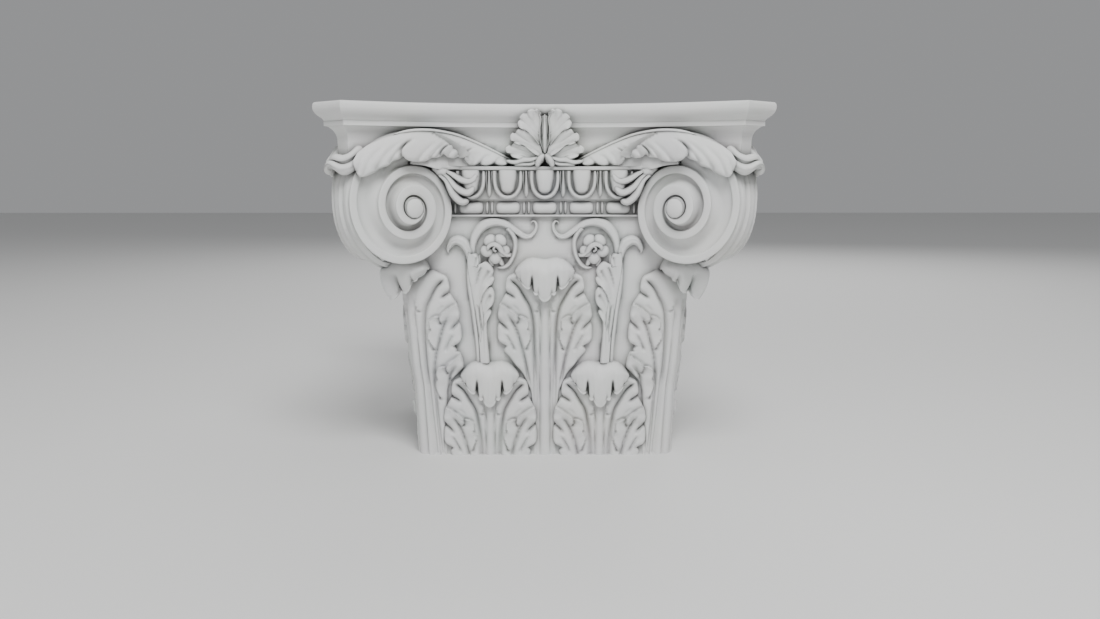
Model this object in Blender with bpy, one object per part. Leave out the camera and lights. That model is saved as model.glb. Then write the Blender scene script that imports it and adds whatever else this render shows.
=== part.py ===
"""Composite capital for a square pier, one cast block with leaves, corner scrolls and mouldings.

Metres, +Z up.  The origin is the centre of the underside and the front face looks along -Y.
All four faces are alike, so each carving is shaped once on the front face's left half,
mirrored to the right half and repeated a quarter turn at a time.
"""
import math

import bmesh
import bpy
from mathutils import Matrix, Vector

# Heights of the layers, from the underside up
BELL_HEIGHT = 0.341
BEAD_HEIGHT = 0.022
EGG_HEIGHT = 0.040
BAND_FILLET = 0.005
CHANNEL_HEIGHT = 0.015
NECK_HEIGHT = 0.0375
FILLET_HEIGHT = 0.0055
OVOLO_HEIGHT = 0.024

BEAD_TOP = BELL_HEIGHT + BEAD_HEIGHT
EGG_TOP = BEAD_TOP + EGG_HEIGHT
BAND_TOP = EGG_TOP + BAND_FILLET
ABACUS_BOTTOM = BAND_TOP + CHANNEL_HEIGHT
NECK_TOP = ABACUS_BOTTOM + NECK_HEIGHT
FILLET_TOP = NECK_TOP + FILLET_HEIGHT
HEIGHT = FILLET_TOP + OVOLO_HEIGHT

# Plan: the band's reach from the axis, and the other reaches measured from it
BAND_REACH = 0.206
BAND_OVERHANG = 0.007
BELL_FLARE = 0.019
HORN_OVERHANG = 0.094
HORN_CUT = 0.0446
CENTRE_OVERHANG = 0.012
SCROLL_INBOARD = 0.0257
SCROLL_OUTBOARD = 0.0328

BELL_TOP_REACH = BAND_REACH - BAND_OVERHANG
BASE_REACH = BELL_TOP_REACH - BELL_FLARE
HORN_REACH = BAND_REACH + HORN_OVERHANG
HORN_HALF = HORN_REACH - HORN_CUT
ABACUS_CENTRE = BAND_REACH + CENTRE_OVERHANG
SCROLL_X = BAND_REACH - SCROLL_INBOARD
SCROLL_Y = BAND_REACH + SCROLL_OUTBOARD

# Bell: a square with rounded corners that flares upwards
BELL_CURVE = 1.2
CORNER_RADIUS = 0.030
BELL_LEVELS = 4
CORNER_STEPS = 3

# Abacus: four hollow sides and cut horns
OVOLO_INSET = 0.0107
NECK_INSET = 0.0238
EDGE_ROUND = 0.004
SIDE_STEPS = 6
ARC_STEPS = 2

# Band of eggs over beads
BAND_LEAN = 0.004
FILLET_PROUD = 0.005
EGG_PITCH = 0.050
EGG_COUNT = 5
SHELL_WIDTH = 0.041
EGG_PROUD = 0.0095
SHELL_PROUD = 0.006
PALM_PROUD = 0.0095
PALM_LENGTH = 0.047
PALM_OVERLAP = 0.0423
DART_WIDTH = 0.006
BEAD_LENGTH = 0.034
DISC_WIDTH = 0.0095

# Corner scrolls: drop of the centre, first radius at the crown and shrink for a quarter turn
SCROLL_DROP = 0.0542
SCROLL_RADIUS = 0.0997
SCROLL_SHRINK = 1.158
SCROLL_SQUASH = 0.943
SCROLL_TURN = math.radians(29.6)
SCROLL_QUARTERS = 8
QUARTER_STEPS = 3
RIM_WIDTH = 0.0115
CHANNEL_DEPTH = 0.010
EYE_PROUD = 0.024
EYE_RADIUS = 0.0125
CROWN_PROUD = 0.016

# Channel and leaf that run from a scroll's crown to the middle of the face
CHANNEL_PROUD = 0.004
CHANNEL_SHARES = (0.0, 0.18, 0.36, 0.55)
SPRAY_START = 0.047
SPRAY_PAST = 0.0637
SPRAY_HEIGHT = 0.0435
SPRAY_PROUD = 0.013

# Leaves: heights, half-widths and relief
LOWER_PLACE = 0.0775
LOWER_HEIGHT = 0.138
LOWER_HALF = 0.0640
UPPER_HEIGHT = 0.284
UPPER_HALF = 0.0640
CORNER_HEIGHT = 0.292
CORNER_HALF = 0.0660
LEAF_RELIEF = 0.0095
LOWER_HEAD = (0.041, 0.064, 0.019)
UPPER_HEAD = (0.041, 0.059, 0.024)
CORNER_HEAD = (0.040, 0.062, 0.040)
ROOT = 0.006

# Stalks with their curls and rosettes, placed from the stalk and from the bell's top
STALK_PLACE = 0.090
STALK_WIDTH = 0.030
STALK_PROUD = 0.011
ROSETTE_SHIFT = 0.0235
ROSETTE_DROP = 0.0475
ROSETTE_RADIUS = 0.0170
RING_RADIUS = 0.0300
TAIL_SHIFT = 0.0665
TAIL_DROP = 0.0080
TAIL_RADIUS = 0.0140
HOOK_SHIFT = 0.0285
HOOK_DROP = 0.0450
HOOK_RADIUS = 0.0135
CURL_RADIUS = 0.0038

# Flower at the middle of each side of the abacus
FLOWER_TOP = 0.0075
FLOWER_HALF = 0.054
FLOWER_EDGE = 0.003
FLOWER_PROUD = 0.021
FLOWER_DROP_HALF = 0.007

# Plaster
PLASTER_COLOUR = (0.50, 0.50, 0.49, 1.0)
PLASTER_ROUGHNESS = 0.62

QUARTERS = 4
FLATTEN_ANGLE = math.radians(4.0)


# Mesh helpers

def loft(rings):
    """Closed shell through rings of equal length, with both end rings capped."""
    shell = bmesh.new()
    rows = [[shell.verts.new(point) for point in ring] for ring in rings]
    count = len(rows[0])
    for low, high in zip(rows, rows[1:]):
        for i in range(count):
            j = (i + 1) % count
            shell.faces.new((low[i], low[j], high[j], high[i]))
    shell.faces.new(reversed(rows[0]))
    shell.faces.new(rows[-1])
    bmesh.ops.recalc_face_normals(shell, faces=shell.faces)
    return shell


def ball(centre, radii, turn=0.0, segments=6, rings=4):
    """Stretched sphere, turned about the line that looks out of the front face."""
    shell = bmesh.new()
    bmesh.ops.create_uvsphere(shell, u_segments=segments, v_segments=rings, radius=1.0)
    matrix = Matrix.Translation(centre) @ Matrix.Rotation(turn, 4, "Y") @ Matrix.Diagonal((*radii, 1.0))
    bmesh.ops.transform(shell, matrix=matrix, verts=shell.verts)
    return shell


def half_rod(centre, length, radius):
    """Half-round rod lying along X on the band."""
    back, front = 2.0 * ROOT, -radius * 0.85
    section = ((back, radius), (front, radius * 0.6), (front, -radius * 0.6), (back, -radius))
    return loft([[centre + Vector((end * length, y, z)) for y, z in section] for end in (-0.5, 0.5)])


def copies(shell, mirrored):
    """Repeats a shell of the front face's left half on the other halves and faces, in one mesh."""
    whole = bmesh.new()
    sources = [Matrix.Identity(4)]
    if mirrored:
        sources.append(Matrix.Diagonal((-1.0, 1.0, 1.0, 1.0)))
    for source in sources:
        for quarter in range(QUARTERS):
            matrix = Matrix.Rotation(quarter * math.tau / QUARTERS, 4, "Z") @ source
            verts = [whole.verts.new(matrix @ vert.co) for vert in shell.verts]
            for face in shell.faces:
                corners = [verts[vert.index] for vert in face.verts]
                if source.determinant() < 0.0:
                    corners.reverse()
                whole.faces.new(corners)
    shell.free()
    return whole


class Carving:
    """Collects the shells that are fused to the bell."""

    def __init__(self, collection):
        self.collection = collection

    def add(self, name, shell, mirrored=False, repeated=True):
        """Adds one carving as an object of the fused collection."""
        shell.verts.index_update()
        whole = copies(shell, mirrored) if repeated else shell
        mesh = bpy.data.meshes.new(name)
        whole.to_mesh(mesh)
        whole.free()
        carving = bpy.data.objects.new(name, mesh)
        carving.display_type = "WIRE"
        carving.hide_render = True
        self.collection.objects.link(carving)


# Surfaces that the carvings follow

def bell_reach(z):
    """Half-width of the plain bell at a height."""
    share = min(max(z / BELL_HEIGHT, 0.0), 1.0)
    return BASE_REACH + (BELL_TOP_REACH - BASE_REACH) * share ** BELL_CURVE


def on_bell(along, z, lift):
    """Point at a distance along the front face from its middle, raised off the bell by lift."""
    flat = bell_reach(z) - CORNER_RADIUS
    past = max(abs(along) - flat, 0.0)
    angle = min(past / CORNER_RADIUS, math.pi / 2.0)
    rest = past - CORNER_RADIUS * angle
    radius = CORNER_RADIUS + lift
    x = min(abs(along), flat) + radius * math.sin(angle)
    y = -flat - radius * math.cos(angle) + rest
    return Vector((math.copysign(x, along), y, z))


def on_corner(along, z, lift):
    """Point at a distance from the middle of the front left corner, measured around the bell."""
    corner = bell_reach(z) - CORNER_RADIUS + CORNER_RADIUS * math.pi / 4.0
    return on_bell(along - corner, z, lift)


def hollow_y(x, inset):
    """Depth of the abacus's hollow side at x, for an outline drawn in by inset."""
    sagitta = HORN_REACH - ABACUS_CENTRE
    radius = (HORN_HALF ** 2 + sagitta ** 2) / (2.0 * sagitta)
    centre = ABACUS_CENTRE + radius
    return -(centre - math.sqrt((radius + inset) ** 2 - x * x))


def horn_x(inset):
    """Half-length of a hollow side where it meets the cut horn."""
    diagonal = HORN_HALF + HORN_REACH - math.sqrt(2.0) * inset
    low, high = 0.0, HORN_HALF * 1.1
    for _ in range(40):
        middle = (low + high) / 2.0
        if middle - hollow_y(middle, inset) < diagonal:
            low = middle
        else:
            high = middle
    return low


def abacus_ring(inset, z):
    """Outline of the abacus at one level."""
    half = horn_x(inset)
    side = []
    for i in range(SIDE_STEPS + 1):
        x = half * (2.0 * i / SIDE_STEPS - 1.0)
        side.append(Vector((x, hollow_y(x, inset), z)))
    ring = []
    for quarter in range(QUARTERS):
        turn = Matrix.Rotation(quarter * math.tau / QUARTERS, 3, "Z")
        ring.extend(turn @ point for point in side)
    return ring


def bell_ring(reach, z):
    """Rounded square outline of the bell at one level."""
    ring = []
    flat = reach - CORNER_RADIUS
    for quarter in range(QUARTERS):
        turn = Matrix.Rotation(quarter * math.tau / QUARTERS, 3, "Z")
        for i in range(CORNER_STEPS + 1):
            angle = i / CORNER_STEPS * math.pi / 2.0
            x = flat + CORNER_RADIUS * math.sin(angle)
            y = -flat - CORNER_RADIUS * math.cos(angle)
            ring.append(turn @ Vector((x, y, z)))
    return ring


def square_ring(reach, z):
    """Square outline of the egg band at one level."""
    return [Vector((sx * reach, sy * reach, z)) for sx, sy in ((-1, -1), (1, -1), (1, 1), (-1, 1))]


# Bell, band and abacus

def make_bell():
    """Plain bell, started a little below the underside so that the last cut leaves it flat."""
    heights = [-ROOT] + [BELL_HEIGHT * i / BELL_LEVELS for i in range(1, BELL_LEVELS + 1)]
    rings = [bell_ring(bell_reach(z), z) for z in heights]
    return loft(rings)


def make_band():
    """Backing of the beads and eggs, with the small fillets below and above."""
    lean_top = BAND_REACH + BAND_LEAN
    line = BEAD_HEIGHT * 0.08
    steps = (
        (BAND_REACH - BAND_LEAN, BELL_HEIGHT - line),
        (BAND_REACH - BAND_LEAN, BELL_HEIGHT + line),
        (BAND_REACH - 2.0 * BAND_LEAN, BELL_HEIGHT + 2.0 * line),
        (BAND_REACH - 2.0 * BAND_LEAN, BEAD_TOP),
        (BAND_REACH, BEAD_TOP + line),
        (lean_top, EGG_TOP),
        (lean_top + FILLET_PROUD, EGG_TOP + line),
        (lean_top + FILLET_PROUD, BAND_TOP),
        (ABACUS_CENTRE - NECK_INSET - BAND_LEAN, BAND_TOP + line),
        (ABACUS_CENTRE - NECK_INSET - BAND_LEAN, ABACUS_BOTTOM + line),
    )
    return loft([square_ring(reach, z) for reach, z in steps])


def make_abacus():
    """Hollow-sided abacus: hollow neck, fillet and rounded top moulding."""
    levels = [(NECK_INSET, ABACUS_BOTTOM), (NECK_INSET, ABACUS_BOTTOM + NECK_HEIGHT * 0.4)]
    neck_rise = NECK_HEIGHT * 0.6
    for i in range(1, ARC_STEPS + 1):
        angle = i / ARC_STEPS * math.pi / 2.0
        inset = NECK_INSET - (NECK_INSET - OVOLO_INSET - EDGE_ROUND) * (1.0 - math.cos(angle))
        levels.append((inset, NECK_TOP - neck_rise * (1.0 - math.sin(angle))))
    levels.append((OVOLO_INSET, NECK_TOP))
    levels.append((OVOLO_INSET, FILLET_TOP))
    ovolo_rise = OVOLO_HEIGHT - EDGE_ROUND
    for i in range(1, ARC_STEPS + 1):
        angle = i / ARC_STEPS * math.pi / 2.0
        rise = ovolo_rise * (1.0 - math.cos(angle))
        levels.append((OVOLO_INSET * (1.0 - math.sin(angle)), FILLET_TOP + rise))
    levels.append((EDGE_ROUND, HEIGHT))
    return loft([abacus_ring(inset, z) for inset, z in levels])


# Eggs, darts, beads and discs

# Pointed U around an egg: shares of the half-width and of the egg's height
SHELL_OUTLINE = ((-1.0, 1.0), (-1.0, 0.35), (-0.45, 0.0), (0.45, 0.0), (1.0, 0.35), (1.0, 1.0))


def make_egg(x):
    """One egg and the shell around it, as a stepped plate with a domed middle."""
    rings = []
    steps = ((1.0, -2.0 * ROOT), (1.0, SHELL_PROUD), (0.70, SHELL_PROUD * 0.6), (0.36, EGG_PROUD))
    for scale, depth in steps:
        ring = []
        for across, up in SHELL_OUTLINE:
            rise = 0.52 + (up - 0.52) * scale
            z = BEAD_TOP + EGG_HEIGHT * rise
            y = -BAND_REACH - BAND_LEAN * rise - depth
            ring.append(Vector((x + SHELL_WIDTH / 2.0 * across * scale, y, z)))
        rings.append(ring)
    return loft(rings)


def make_dart(x):
    """Dart between two shells: a tapering spike with its point down."""
    top = EGG_TOP + BAND_FILLET * 0.4
    back = -BAND_REACH + 2.0 * ROOT
    front = -BAND_REACH - BAND_LEAN - SHELL_PROUD * 0.7
    spike = []
    for half, z in ((DART_WIDTH / 2.0, top), (DART_WIDTH * 0.75, BEAD_TOP + EGG_HEIGHT * 0.2)):
        spike.append([Vector((x - half, back, z)), Vector((x, front, z)), Vector((x + half, back, z))])
    return loft(spike)


def add_band_ornament(carving):
    """Row of eggs with darts between them, and the beads and discs below it."""
    bead_at = Vector((0.0, -(BAND_REACH - 2.0 * BAND_LEAN), BELL_HEIGHT + BEAD_HEIGHT * 0.5))
    bead_radius = BEAD_HEIGHT * 0.44
    for index in range(EGG_COUNT):
        x = (index - (EGG_COUNT - 1) / 2.0) * EGG_PITCH
        offset = Vector((x, 0.0, 0.0))
        carving.add(f"egg_{index}", make_egg(x))
        carving.add(f"bead_{index}", half_rod(bead_at + offset, BEAD_LENGTH, bead_radius))
    for index in range(EGG_COUNT - 1):
        x = (index - (EGG_COUNT - 2) / 2.0) * EGG_PITCH
        offset = Vector((x, 0.0, 0.0))
        carving.add(f"dart_{index}", make_dart(x))
        carving.add(f"disc_{index}", half_rod(bead_at + offset, DISC_WIDTH, bead_radius * 0.85))


# Corner scrolls

def scroll_centre():
    """Centre of the front left scroll, on its outer rim's plane."""
    return Vector((-SCROLL_X, -SCROLL_Y, BAND_TOP - SCROLL_DROP))


def scroll_point(radius, quarters, proud):
    """Point of the front left scroll: quarter turns run from the crown out, down and in."""
    angle = math.pi / 2.0 * (quarters + 1.0)
    across = radius * math.cos(angle) * SCROLL_SQUASH
    flat = Vector((math.cos(SCROLL_TURN), math.sin(SCROLL_TURN), 0.0))
    out = Vector((math.sin(SCROLL_TURN), -math.cos(SCROLL_TURN), 0.0))
    return scroll_centre() + flat * across + out * proud + Vector((0.0, 0.0, radius * math.sin(angle)))


def rim_radius(quarters):
    """Radius of the rim's outer edge."""
    return SCROLL_RADIUS * SCROLL_SHRINK ** -quarters


def rim_proud(quarters):
    """Height of the rim over the scroll's plane: it rises to the eye, and again to the crown."""
    rise = EYE_PROUD * 0.8 * (quarters / SCROLL_QUARTERS) ** 1.2
    crown = CROWN_PROUD * max(1.0 - quarters, 0.0) ** 1.5
    return rise + crown


def mirror_corner(point):
    """Mirror image in the upright plane through the front left corner."""
    return Vector((point.y, point.x, point.z))


def make_scroll_pair():
    """Both scrolls of the front left corner, joined by the band around their edge."""
    shell = bmesh.new()
    turn = 4 * QUARTER_STEPS
    last = SCROLL_QUARTERS * QUARTER_STEPS
    outer, inner, floor = [], [], []
    for step in range(last + 1):
        quarters = step / QUARTER_STEPS
        radius = rim_radius(quarters)
        proud = rim_proud(quarters)
        width = min(RIM_WIDTH, radius * 0.4)
        outer.append(scroll_point(radius, quarters, proud))
        inner.append(scroll_point(radius - width, quarters, proud))
        next_radius = rim_radius(quarters + 4.0)
        depth = CHANNEL_DEPTH * min(1.0, 0.35 + quarters / 3.0)
        floor.append(scroll_point(next_radius + RIM_WIDTH * 0.04, quarters, proud - depth))
    for image in (lambda point: point, mirror_corner):
        rows = [[shell.verts.new(image(point)) for point in row] for row in (outer, inner, floor)]
        add_scroll_faces(shell, rows, turn, last)
    shell.verts.index_update()
    join_scroll_edges(shell)
    bmesh.ops.recalc_face_normals(shell, faces=shell.faces)
    return shell


def add_scroll_faces(shell, rows, turn, last):
    """Rim, channel and the wall up to the next turn, closed around the eye."""
    outer, inner, floor = rows
    for i in range(last):
        shell.faces.new((outer[i], outer[i + 1], inner[i + 1], inner[i]))
        shell.faces.new((inner[i], inner[i + 1], floor[i + 1], floor[i]))
        if i + 1 + turn <= last:
            shell.faces.new((floor[i], floor[i + 1], outer[i + 1 + turn], outer[i + turn]))
    shell.faces.new((floor[last - turn], outer[last], inner[last], floor[last]))
    shell.faces.new(floor[last - turn:])


def join_scroll_edges(shell):
    """Bridges the open edge of one scroll to its mirror image around the corner."""
    rim = [edge for edge in shell.edges if len(edge.link_faces) == 1]
    half = len(shell.verts) // 2
    shell.verts.ensure_lookup_table()
    for edge in rim:
        a, b = edge.verts
        if a.index < half:
            far_a = shell.verts[a.index + half]
            far_b = shell.verts[b.index + half]
            shell.faces.new((a, b, far_b, far_a))


def make_eye():
    """Domed eye at the middle of the scroll."""
    centre = scroll_point(0.0, 0.0, EYE_PROUD - EYE_RADIUS * 0.6)
    return ball(centre, (EYE_RADIUS, EYE_RADIUS, EYE_RADIUS), rings=3)


# Channel over the band, with the leaf that lies in it

def channel_front(x):
    """Depth of the channel's face, in front of the abacus's neck."""
    return hollow_y(x, NECK_INSET) - CHANNEL_PROUD


# Lobed leaf in the channel: shares of its length, of its height at the lower edge and of its relief
SPRAY_EDGE = (
    (0.00, 0.14, 0.3), (0.17, 0.44, 1.0), (0.24, 0.25, 0.7), (0.36, 0.62, 1.0), (0.42, 0.39, 0.7),
    (0.54, 0.76, 1.0), (0.60, 0.48, 0.7), (0.78, 0.92, 1.0), (0.93, 1.22, 0.8),
)

# Crest of that leaf from the flower over the scroll's crown: shares of its reach and of its height
SPRAY_CREST = (
    (0.0, 0.23), (0.147, 0.506), (0.294, 0.747), (0.528, 1.0), (0.812, 0.77), (0.962, 0.39), (1.0, 0.046),
)


def spray_crest(share):
    """Place of the leaf's top edge, as a distance from the face's middle and a height."""
    place = share * (len(SPRAY_CREST) - 1)
    index = min(int(place), len(SPRAY_CREST) - 2)
    spot = Vector(SPRAY_CREST[index]).lerp(Vector(SPRAY_CREST[index + 1]), place - index)
    reach = SCROLL_X + SPRAY_PAST - SPRAY_START
    return SPRAY_START + reach * spot.x, BAND_TOP + SPRAY_HEIGHT * spot.y


def spray_front(x):
    """Depth of the face that the leaf lies on: the channel first, then the scroll's rim."""
    scroll = -SCROLL_Y - (x - SCROLL_X) * math.tan(SCROLL_TURN) - CHANNEL_PROUD
    return min(channel_front(x), scroll) if x > SCROLL_X else channel_front(x)


def make_spray():
    """Leaf that lies in the channel and hangs over the scroll."""
    rings = []
    for share, fall, relief in SPRAY_EDGE:
        x, crest = spray_crest(share)
        front = spray_front(x)
        drop = SPRAY_HEIGHT * fall
        proud = SPRAY_PROUD * relief
        rings.append([
            Vector((-x, front + 2.0 * ROOT, crest)),
            Vector((-x, front - proud, crest - drop * 0.2)),
            Vector((-x, front - proud * 0.8, crest - drop)),
            Vector((-x, front + 2.0 * ROOT, crest - drop)),
        ])
    return loft(rings)


def make_channel():
    """Web behind the leaf, with the channel's upper rim along its top."""
    rings = []
    for share in CHANNEL_SHARES:
        x, crest = spray_crest(share)
        front = channel_front(x)
        top = crest + CHANNEL_PROUD
        rings.append([
            Vector((-x, front + 4.0 * ROOT, top)), Vector((-x, front - CHANNEL_PROUD, top)),
            Vector((-x, front, EGG_TOP)), Vector((-x, front + 4.0 * ROOT, EGG_TOP)),
        ])
    return loft(rings)


# Half palmette between a scroll and the eggs, from its root: shares of its length inwards and down
PALM_OUTLINE = (
    (0.0, 0.064), (0.425, 0.021), (1.0, 0.106), (0.787, 0.362), (0.904, 0.638),
    (0.681, 0.723), (0.766, 0.957), (0.468, 0.872), (0.213, 0.511),
)


def make_palm():
    """Half palmette: a plate with three rounded tips, raised along its middle."""
    root = Vector((SCROLL_X - PALM_OVERLAP, BAND_TOP))
    outline = [root - Vector(shares) * PALM_LENGTH for shares in PALM_OUTLINE]
    middle = sum(outline, Vector((0.0, 0.0))) / len(outline)
    rings = []
    face = BAND_REACH + BAND_LEAN
    for scale, depth in ((1.0, -1.6 * ROOT), (0.85, PALM_PROUD)):
        spots = [middle.lerp(corner, scale) for corner in outline]
        rings.append([Vector((-spot.x, -face - depth, spot.y)) for spot in spots])
    return loft(rings)


# Leaves

# Blade edge from the foot up: share of the height, share of the half-width
LOWER_EDGE = (
    (-0.04, 0.86), (0.11, 0.81), (0.22, 0.97), (0.33, 1.00), (0.37, 0.93),
    (0.52, 0.98), (0.63, 0.80), (0.76, 0.85), (0.84, 0.74),
)
UPPER_EDGE = (
    (-0.02, 0.18), (0.30, 0.26), (0.45, 0.68), (0.60, 1.00), (0.68, 0.94), (0.77, 0.95),
    (0.81, 0.80), (0.92, 0.72),
)
CORNER_EDGE = (
    (-0.02, 0.55), (0.12, 0.62), (0.32, 0.80), (0.46, 1.00), (0.56, 0.96), (0.62, 1.00),
    (0.665, 0.90), (0.77, 0.96), (0.80, 0.84), (0.88, 0.80),
)


def make_blade(edge, height, half_width, surface, middle, vein=0.45):
    """Leaf blade on a surface: a stem rib, a vein on each side and a lobed edge that points up."""
    rings = []
    for share, width in edge:
        z = height * share
        half = half_width * width
        point_up = height * 0.05 * min(max(share * 4.0, 0.0), 1.0)
        relief = LEAF_RELIEF * (0.85 + 0.45 * share)
        across = (-1.0, -1.0, -vein, 0.0, vein, 1.0, 1.0)
        lifts = (-ROOT, relief * 0.8, relief * 0.4, relief * 1.1, relief * 0.4, relief * 0.8, -ROOT)
        rings.append([
            surface(middle + half * side, z + point_up * side * side, lift)
            for side, lift in zip(across, lifts)
        ])
    return loft(rings)


# Head of a leaf, from the middle out: share of its half-width, crown height, lip height, relief
HEAD_SECTIONS = (
    (1.00, 0.74, 0.60, 0.50), (0.62, 0.97, 0.17, 0.95), (0.45, 0.99, 0.42, 0.98), (0.28, 1.00, 0.13, 1.00),
    (0.00, 0.97, 0.00, 1.00),
)


def make_head(top, size, surface, middle):
    """Curled head of a leaf: five lobes that hang from a rounded crown."""
    half, drop, relief = size
    sections = [(-share, *rest) for share, *rest in HEAD_SECTIONS]
    sections += list(reversed(HEAD_SECTIONS[:-1]))
    rings = []
    for share, crown, lip, proud in sections:
        z_top = top - drop * (1.0 - crown)
        z_lip = top - drop * (1.0 - lip)
        z_mid = z_top * 0.7 + z_lip * 0.3
        lift = relief * proud
        rings.append([
            surface(middle + half * share, z_top, -ROOT * 0.5),
            surface(middle + half * share, z_mid, lift),
            surface(middle + half * share, z_lip, lift * 0.85),
            surface(middle + half * share, z_lip + (z_top - z_lip) * 0.15, -ROOT * 0.5),
        ])
    return loft(rings)


def add_leaves(carving):
    """Two lower leaves and one upper leaf on each face, and a leaf around each corner."""
    lower = make_blade(LOWER_EDGE, LOWER_HEIGHT, LOWER_HALF, on_bell, -LOWER_PLACE)
    carving.add("lower_blade", lower, mirrored=True)
    carving.add("lower_head", make_head(LOWER_HEIGHT, LOWER_HEAD, on_bell, -LOWER_PLACE), mirrored=True)
    carving.add("upper_blade", make_blade(UPPER_EDGE, UPPER_HEIGHT, UPPER_HALF, on_bell, 0.0))
    carving.add("upper_head", make_head(UPPER_HEIGHT, UPPER_HEAD, on_bell, 0.0))
    carving.add("corner_blade", make_blade(CORNER_EDGE, CORNER_HEIGHT, CORNER_HALF, on_corner, 0.0, vein=0.5))
    carving.add("corner_head", make_head(CORNER_HEIGHT, CORNER_HEAD, on_corner, 0.0))


# Stalks

# Stalk and its sheath leaf from the foot up: share of the bell's height, outer and inner edge as
# shares of the stalk's width, share of its relief
STALK_SECTIONS = (
    (0.352, 0.20, -0.47, 0.55), (0.601, 0.43, -0.47, 0.82), (0.660, 0.47, -0.33, 0.82),
    (0.768, 0.57, -0.67, 1.00), (0.798, 0.57, -0.40, 0.91), (0.886, 0.50, 0.07, 0.55),
)


def make_stalk():
    """Stalk with the leaf that sheathes it."""
    rings = []
    for share, outer, inner, relief in STALK_SECTIONS:
        z = BELL_HEIGHT * share
        left = STALK_PLACE + STALK_WIDTH * outer
        right = STALK_PLACE + STALK_WIDTH * inner
        middle = (left + right) / 2.0
        crest = on_bell(-middle, z, STALK_PROUD * relief)
        rings.append([on_bell(-left, z, -ROOT), crest, on_bell(-right, z, -ROOT)])
    return loft(rings)


def make_tendril(route, thickness):
    """Tendril on the bell: a four-sided bar that tapers along a route."""
    rings = []
    last = len(route) - 1
    for i, (x, z) in enumerate(route):
        before = Vector(route[max(i - 1, 0)])
        after = Vector(route[min(i + 1, last)])
        along = (after - before).normalized()
        side = Vector((-along.y, along.x)) * thickness * (1.0 - 0.4 * i / last)
        rings.append([
            on_bell(x - side.x, z - side.y, -ROOT), on_bell(x, z, thickness * 1.4),
            on_bell(x + side.x, z + side.y, -ROOT),
        ])
    return loft(rings)


def arc(centre, radius, start, end, steps):
    """Points on an arc, with the angles in degrees."""
    points = []
    for i in range(steps + 1):
        angle = math.radians(start + (end - start) * i / steps)
        points.append((centre[0] + radius * math.cos(angle), centre[1] + radius * math.sin(angle)))
    return points


def add_stalks(carving):
    """Stalk, its two tendrils and the rosette, on each half of each face."""
    carving.add("stalk", make_stalk(), mirrored=True)
    rosette_at = Vector((ROSETTE_SHIFT - STALK_PLACE, BELL_HEIGHT - ROSETTE_DROP))
    ring_at = rosette_at + Vector((-0.1, 0.17)) * RING_RADIUS
    tail_at = Vector((TAIL_SHIFT - STALK_PLACE, BELL_HEIGHT - TAIL_DROP))
    curl = arc(ring_at, RING_RADIUS, 170.0, 20.0, 3) + arc(tail_at, TAIL_RADIUS, 230.0, 380.0, 2)
    carving.add("inner_tendril", make_tendril(curl, CURL_RADIUS), mirrored=True)
    hook_at = Vector((-STALK_PLACE - HOOK_SHIFT, BELL_HEIGHT - HOOK_DROP))
    hook = arc(hook_at, HOOK_RADIUS, 20.0, 190.0, 3)
    carving.add("outer_tendril", make_tendril(hook, CURL_RADIUS), mirrored=True)
    centre = on_bell(rosette_at.x, rosette_at.y, ROSETTE_RADIUS * 0.18)
    rosette = ball(centre, (ROSETTE_RADIUS, ROSETTE_RADIUS * 0.7, ROSETTE_RADIUS), rings=3)
    carving.add("rosette", rosette, mirrored=True)


# Flower

# Half outline of the flower from its cup up: shares of its half-width and of its height
FLOWER_OUTLINE = (
    (0.93, 0.03), (1.00, 0.14), (0.93, 0.28), (0.59, 0.34), (0.85, 0.46), (0.80, 0.60),
    (0.48, 0.66), (0.67, 0.80), (0.56, 0.93), (0.26, 1.00), (0.06, 0.92),
)


def make_flower():
    """Three pairs of rounded lobes in one plate, raised along the middle."""
    low, high = BAND_TOP - BAND_FILLET, HEIGHT - FLOWER_TOP
    outline = [(-FLOWER_HALF * wide, share) for wide, share in FLOWER_OUTLINE]
    outline += [(FLOWER_HALF * wide, share) for wide, share in reversed(FLOWER_OUTLINE)]
    face = hollow_y(0.0, OVOLO_INSET)
    rings = []
    for scale, depth in ((1.0, -4.0 * ROOT), (1.0, FLOWER_EDGE), (0.45, FLOWER_PROUD * 0.6)):
        ring = []
        for x, share in outline:
            height = 0.5 + (share - 0.5) * (scale * 0.4 + 0.6)
            ring.append(Vector((x * scale, face - depth, low + (high - low) * height)))
        rings.append(ring)
    return loft(rings)


def make_flower_drop():
    """Slender drop that stands in front of the lobes."""
    centre = Vector((0.0, hollow_y(0.0, OVOLO_INSET), BAND_TOP + (HEIGHT - BAND_TOP) * 0.50))
    return ball(centre, (FLOWER_DROP_HALF, FLOWER_PROUD, (HEIGHT - BAND_TOP) * 0.34))


# Assembly

def clear_scene():
    """Removes the objects that the file opens with."""
    for item in list(bpy.data.objects):
        bpy.data.objects.remove(item, do_unlink=True)


def new_collection(name):
    """Collection linked to the scene."""
    collection = bpy.data.collections.new(name)
    bpy.context.scene.collection.children.link(collection)
    return collection


def plaster():
    """Cast plaster."""
    material = bpy.data.materials.new("plaster")
    material.use_nodes = True
    shader = material.node_tree.nodes["Principled BSDF"]
    shader.inputs["Base Color"].default_value = PLASTER_COLOUR
    shader.inputs["Roughness"].default_value = PLASTER_ROUGHNESS
    shader.inputs["Metallic"].default_value = 0.0
    material.diffuse_color = PLASTER_COLOUR
    return material


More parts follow.
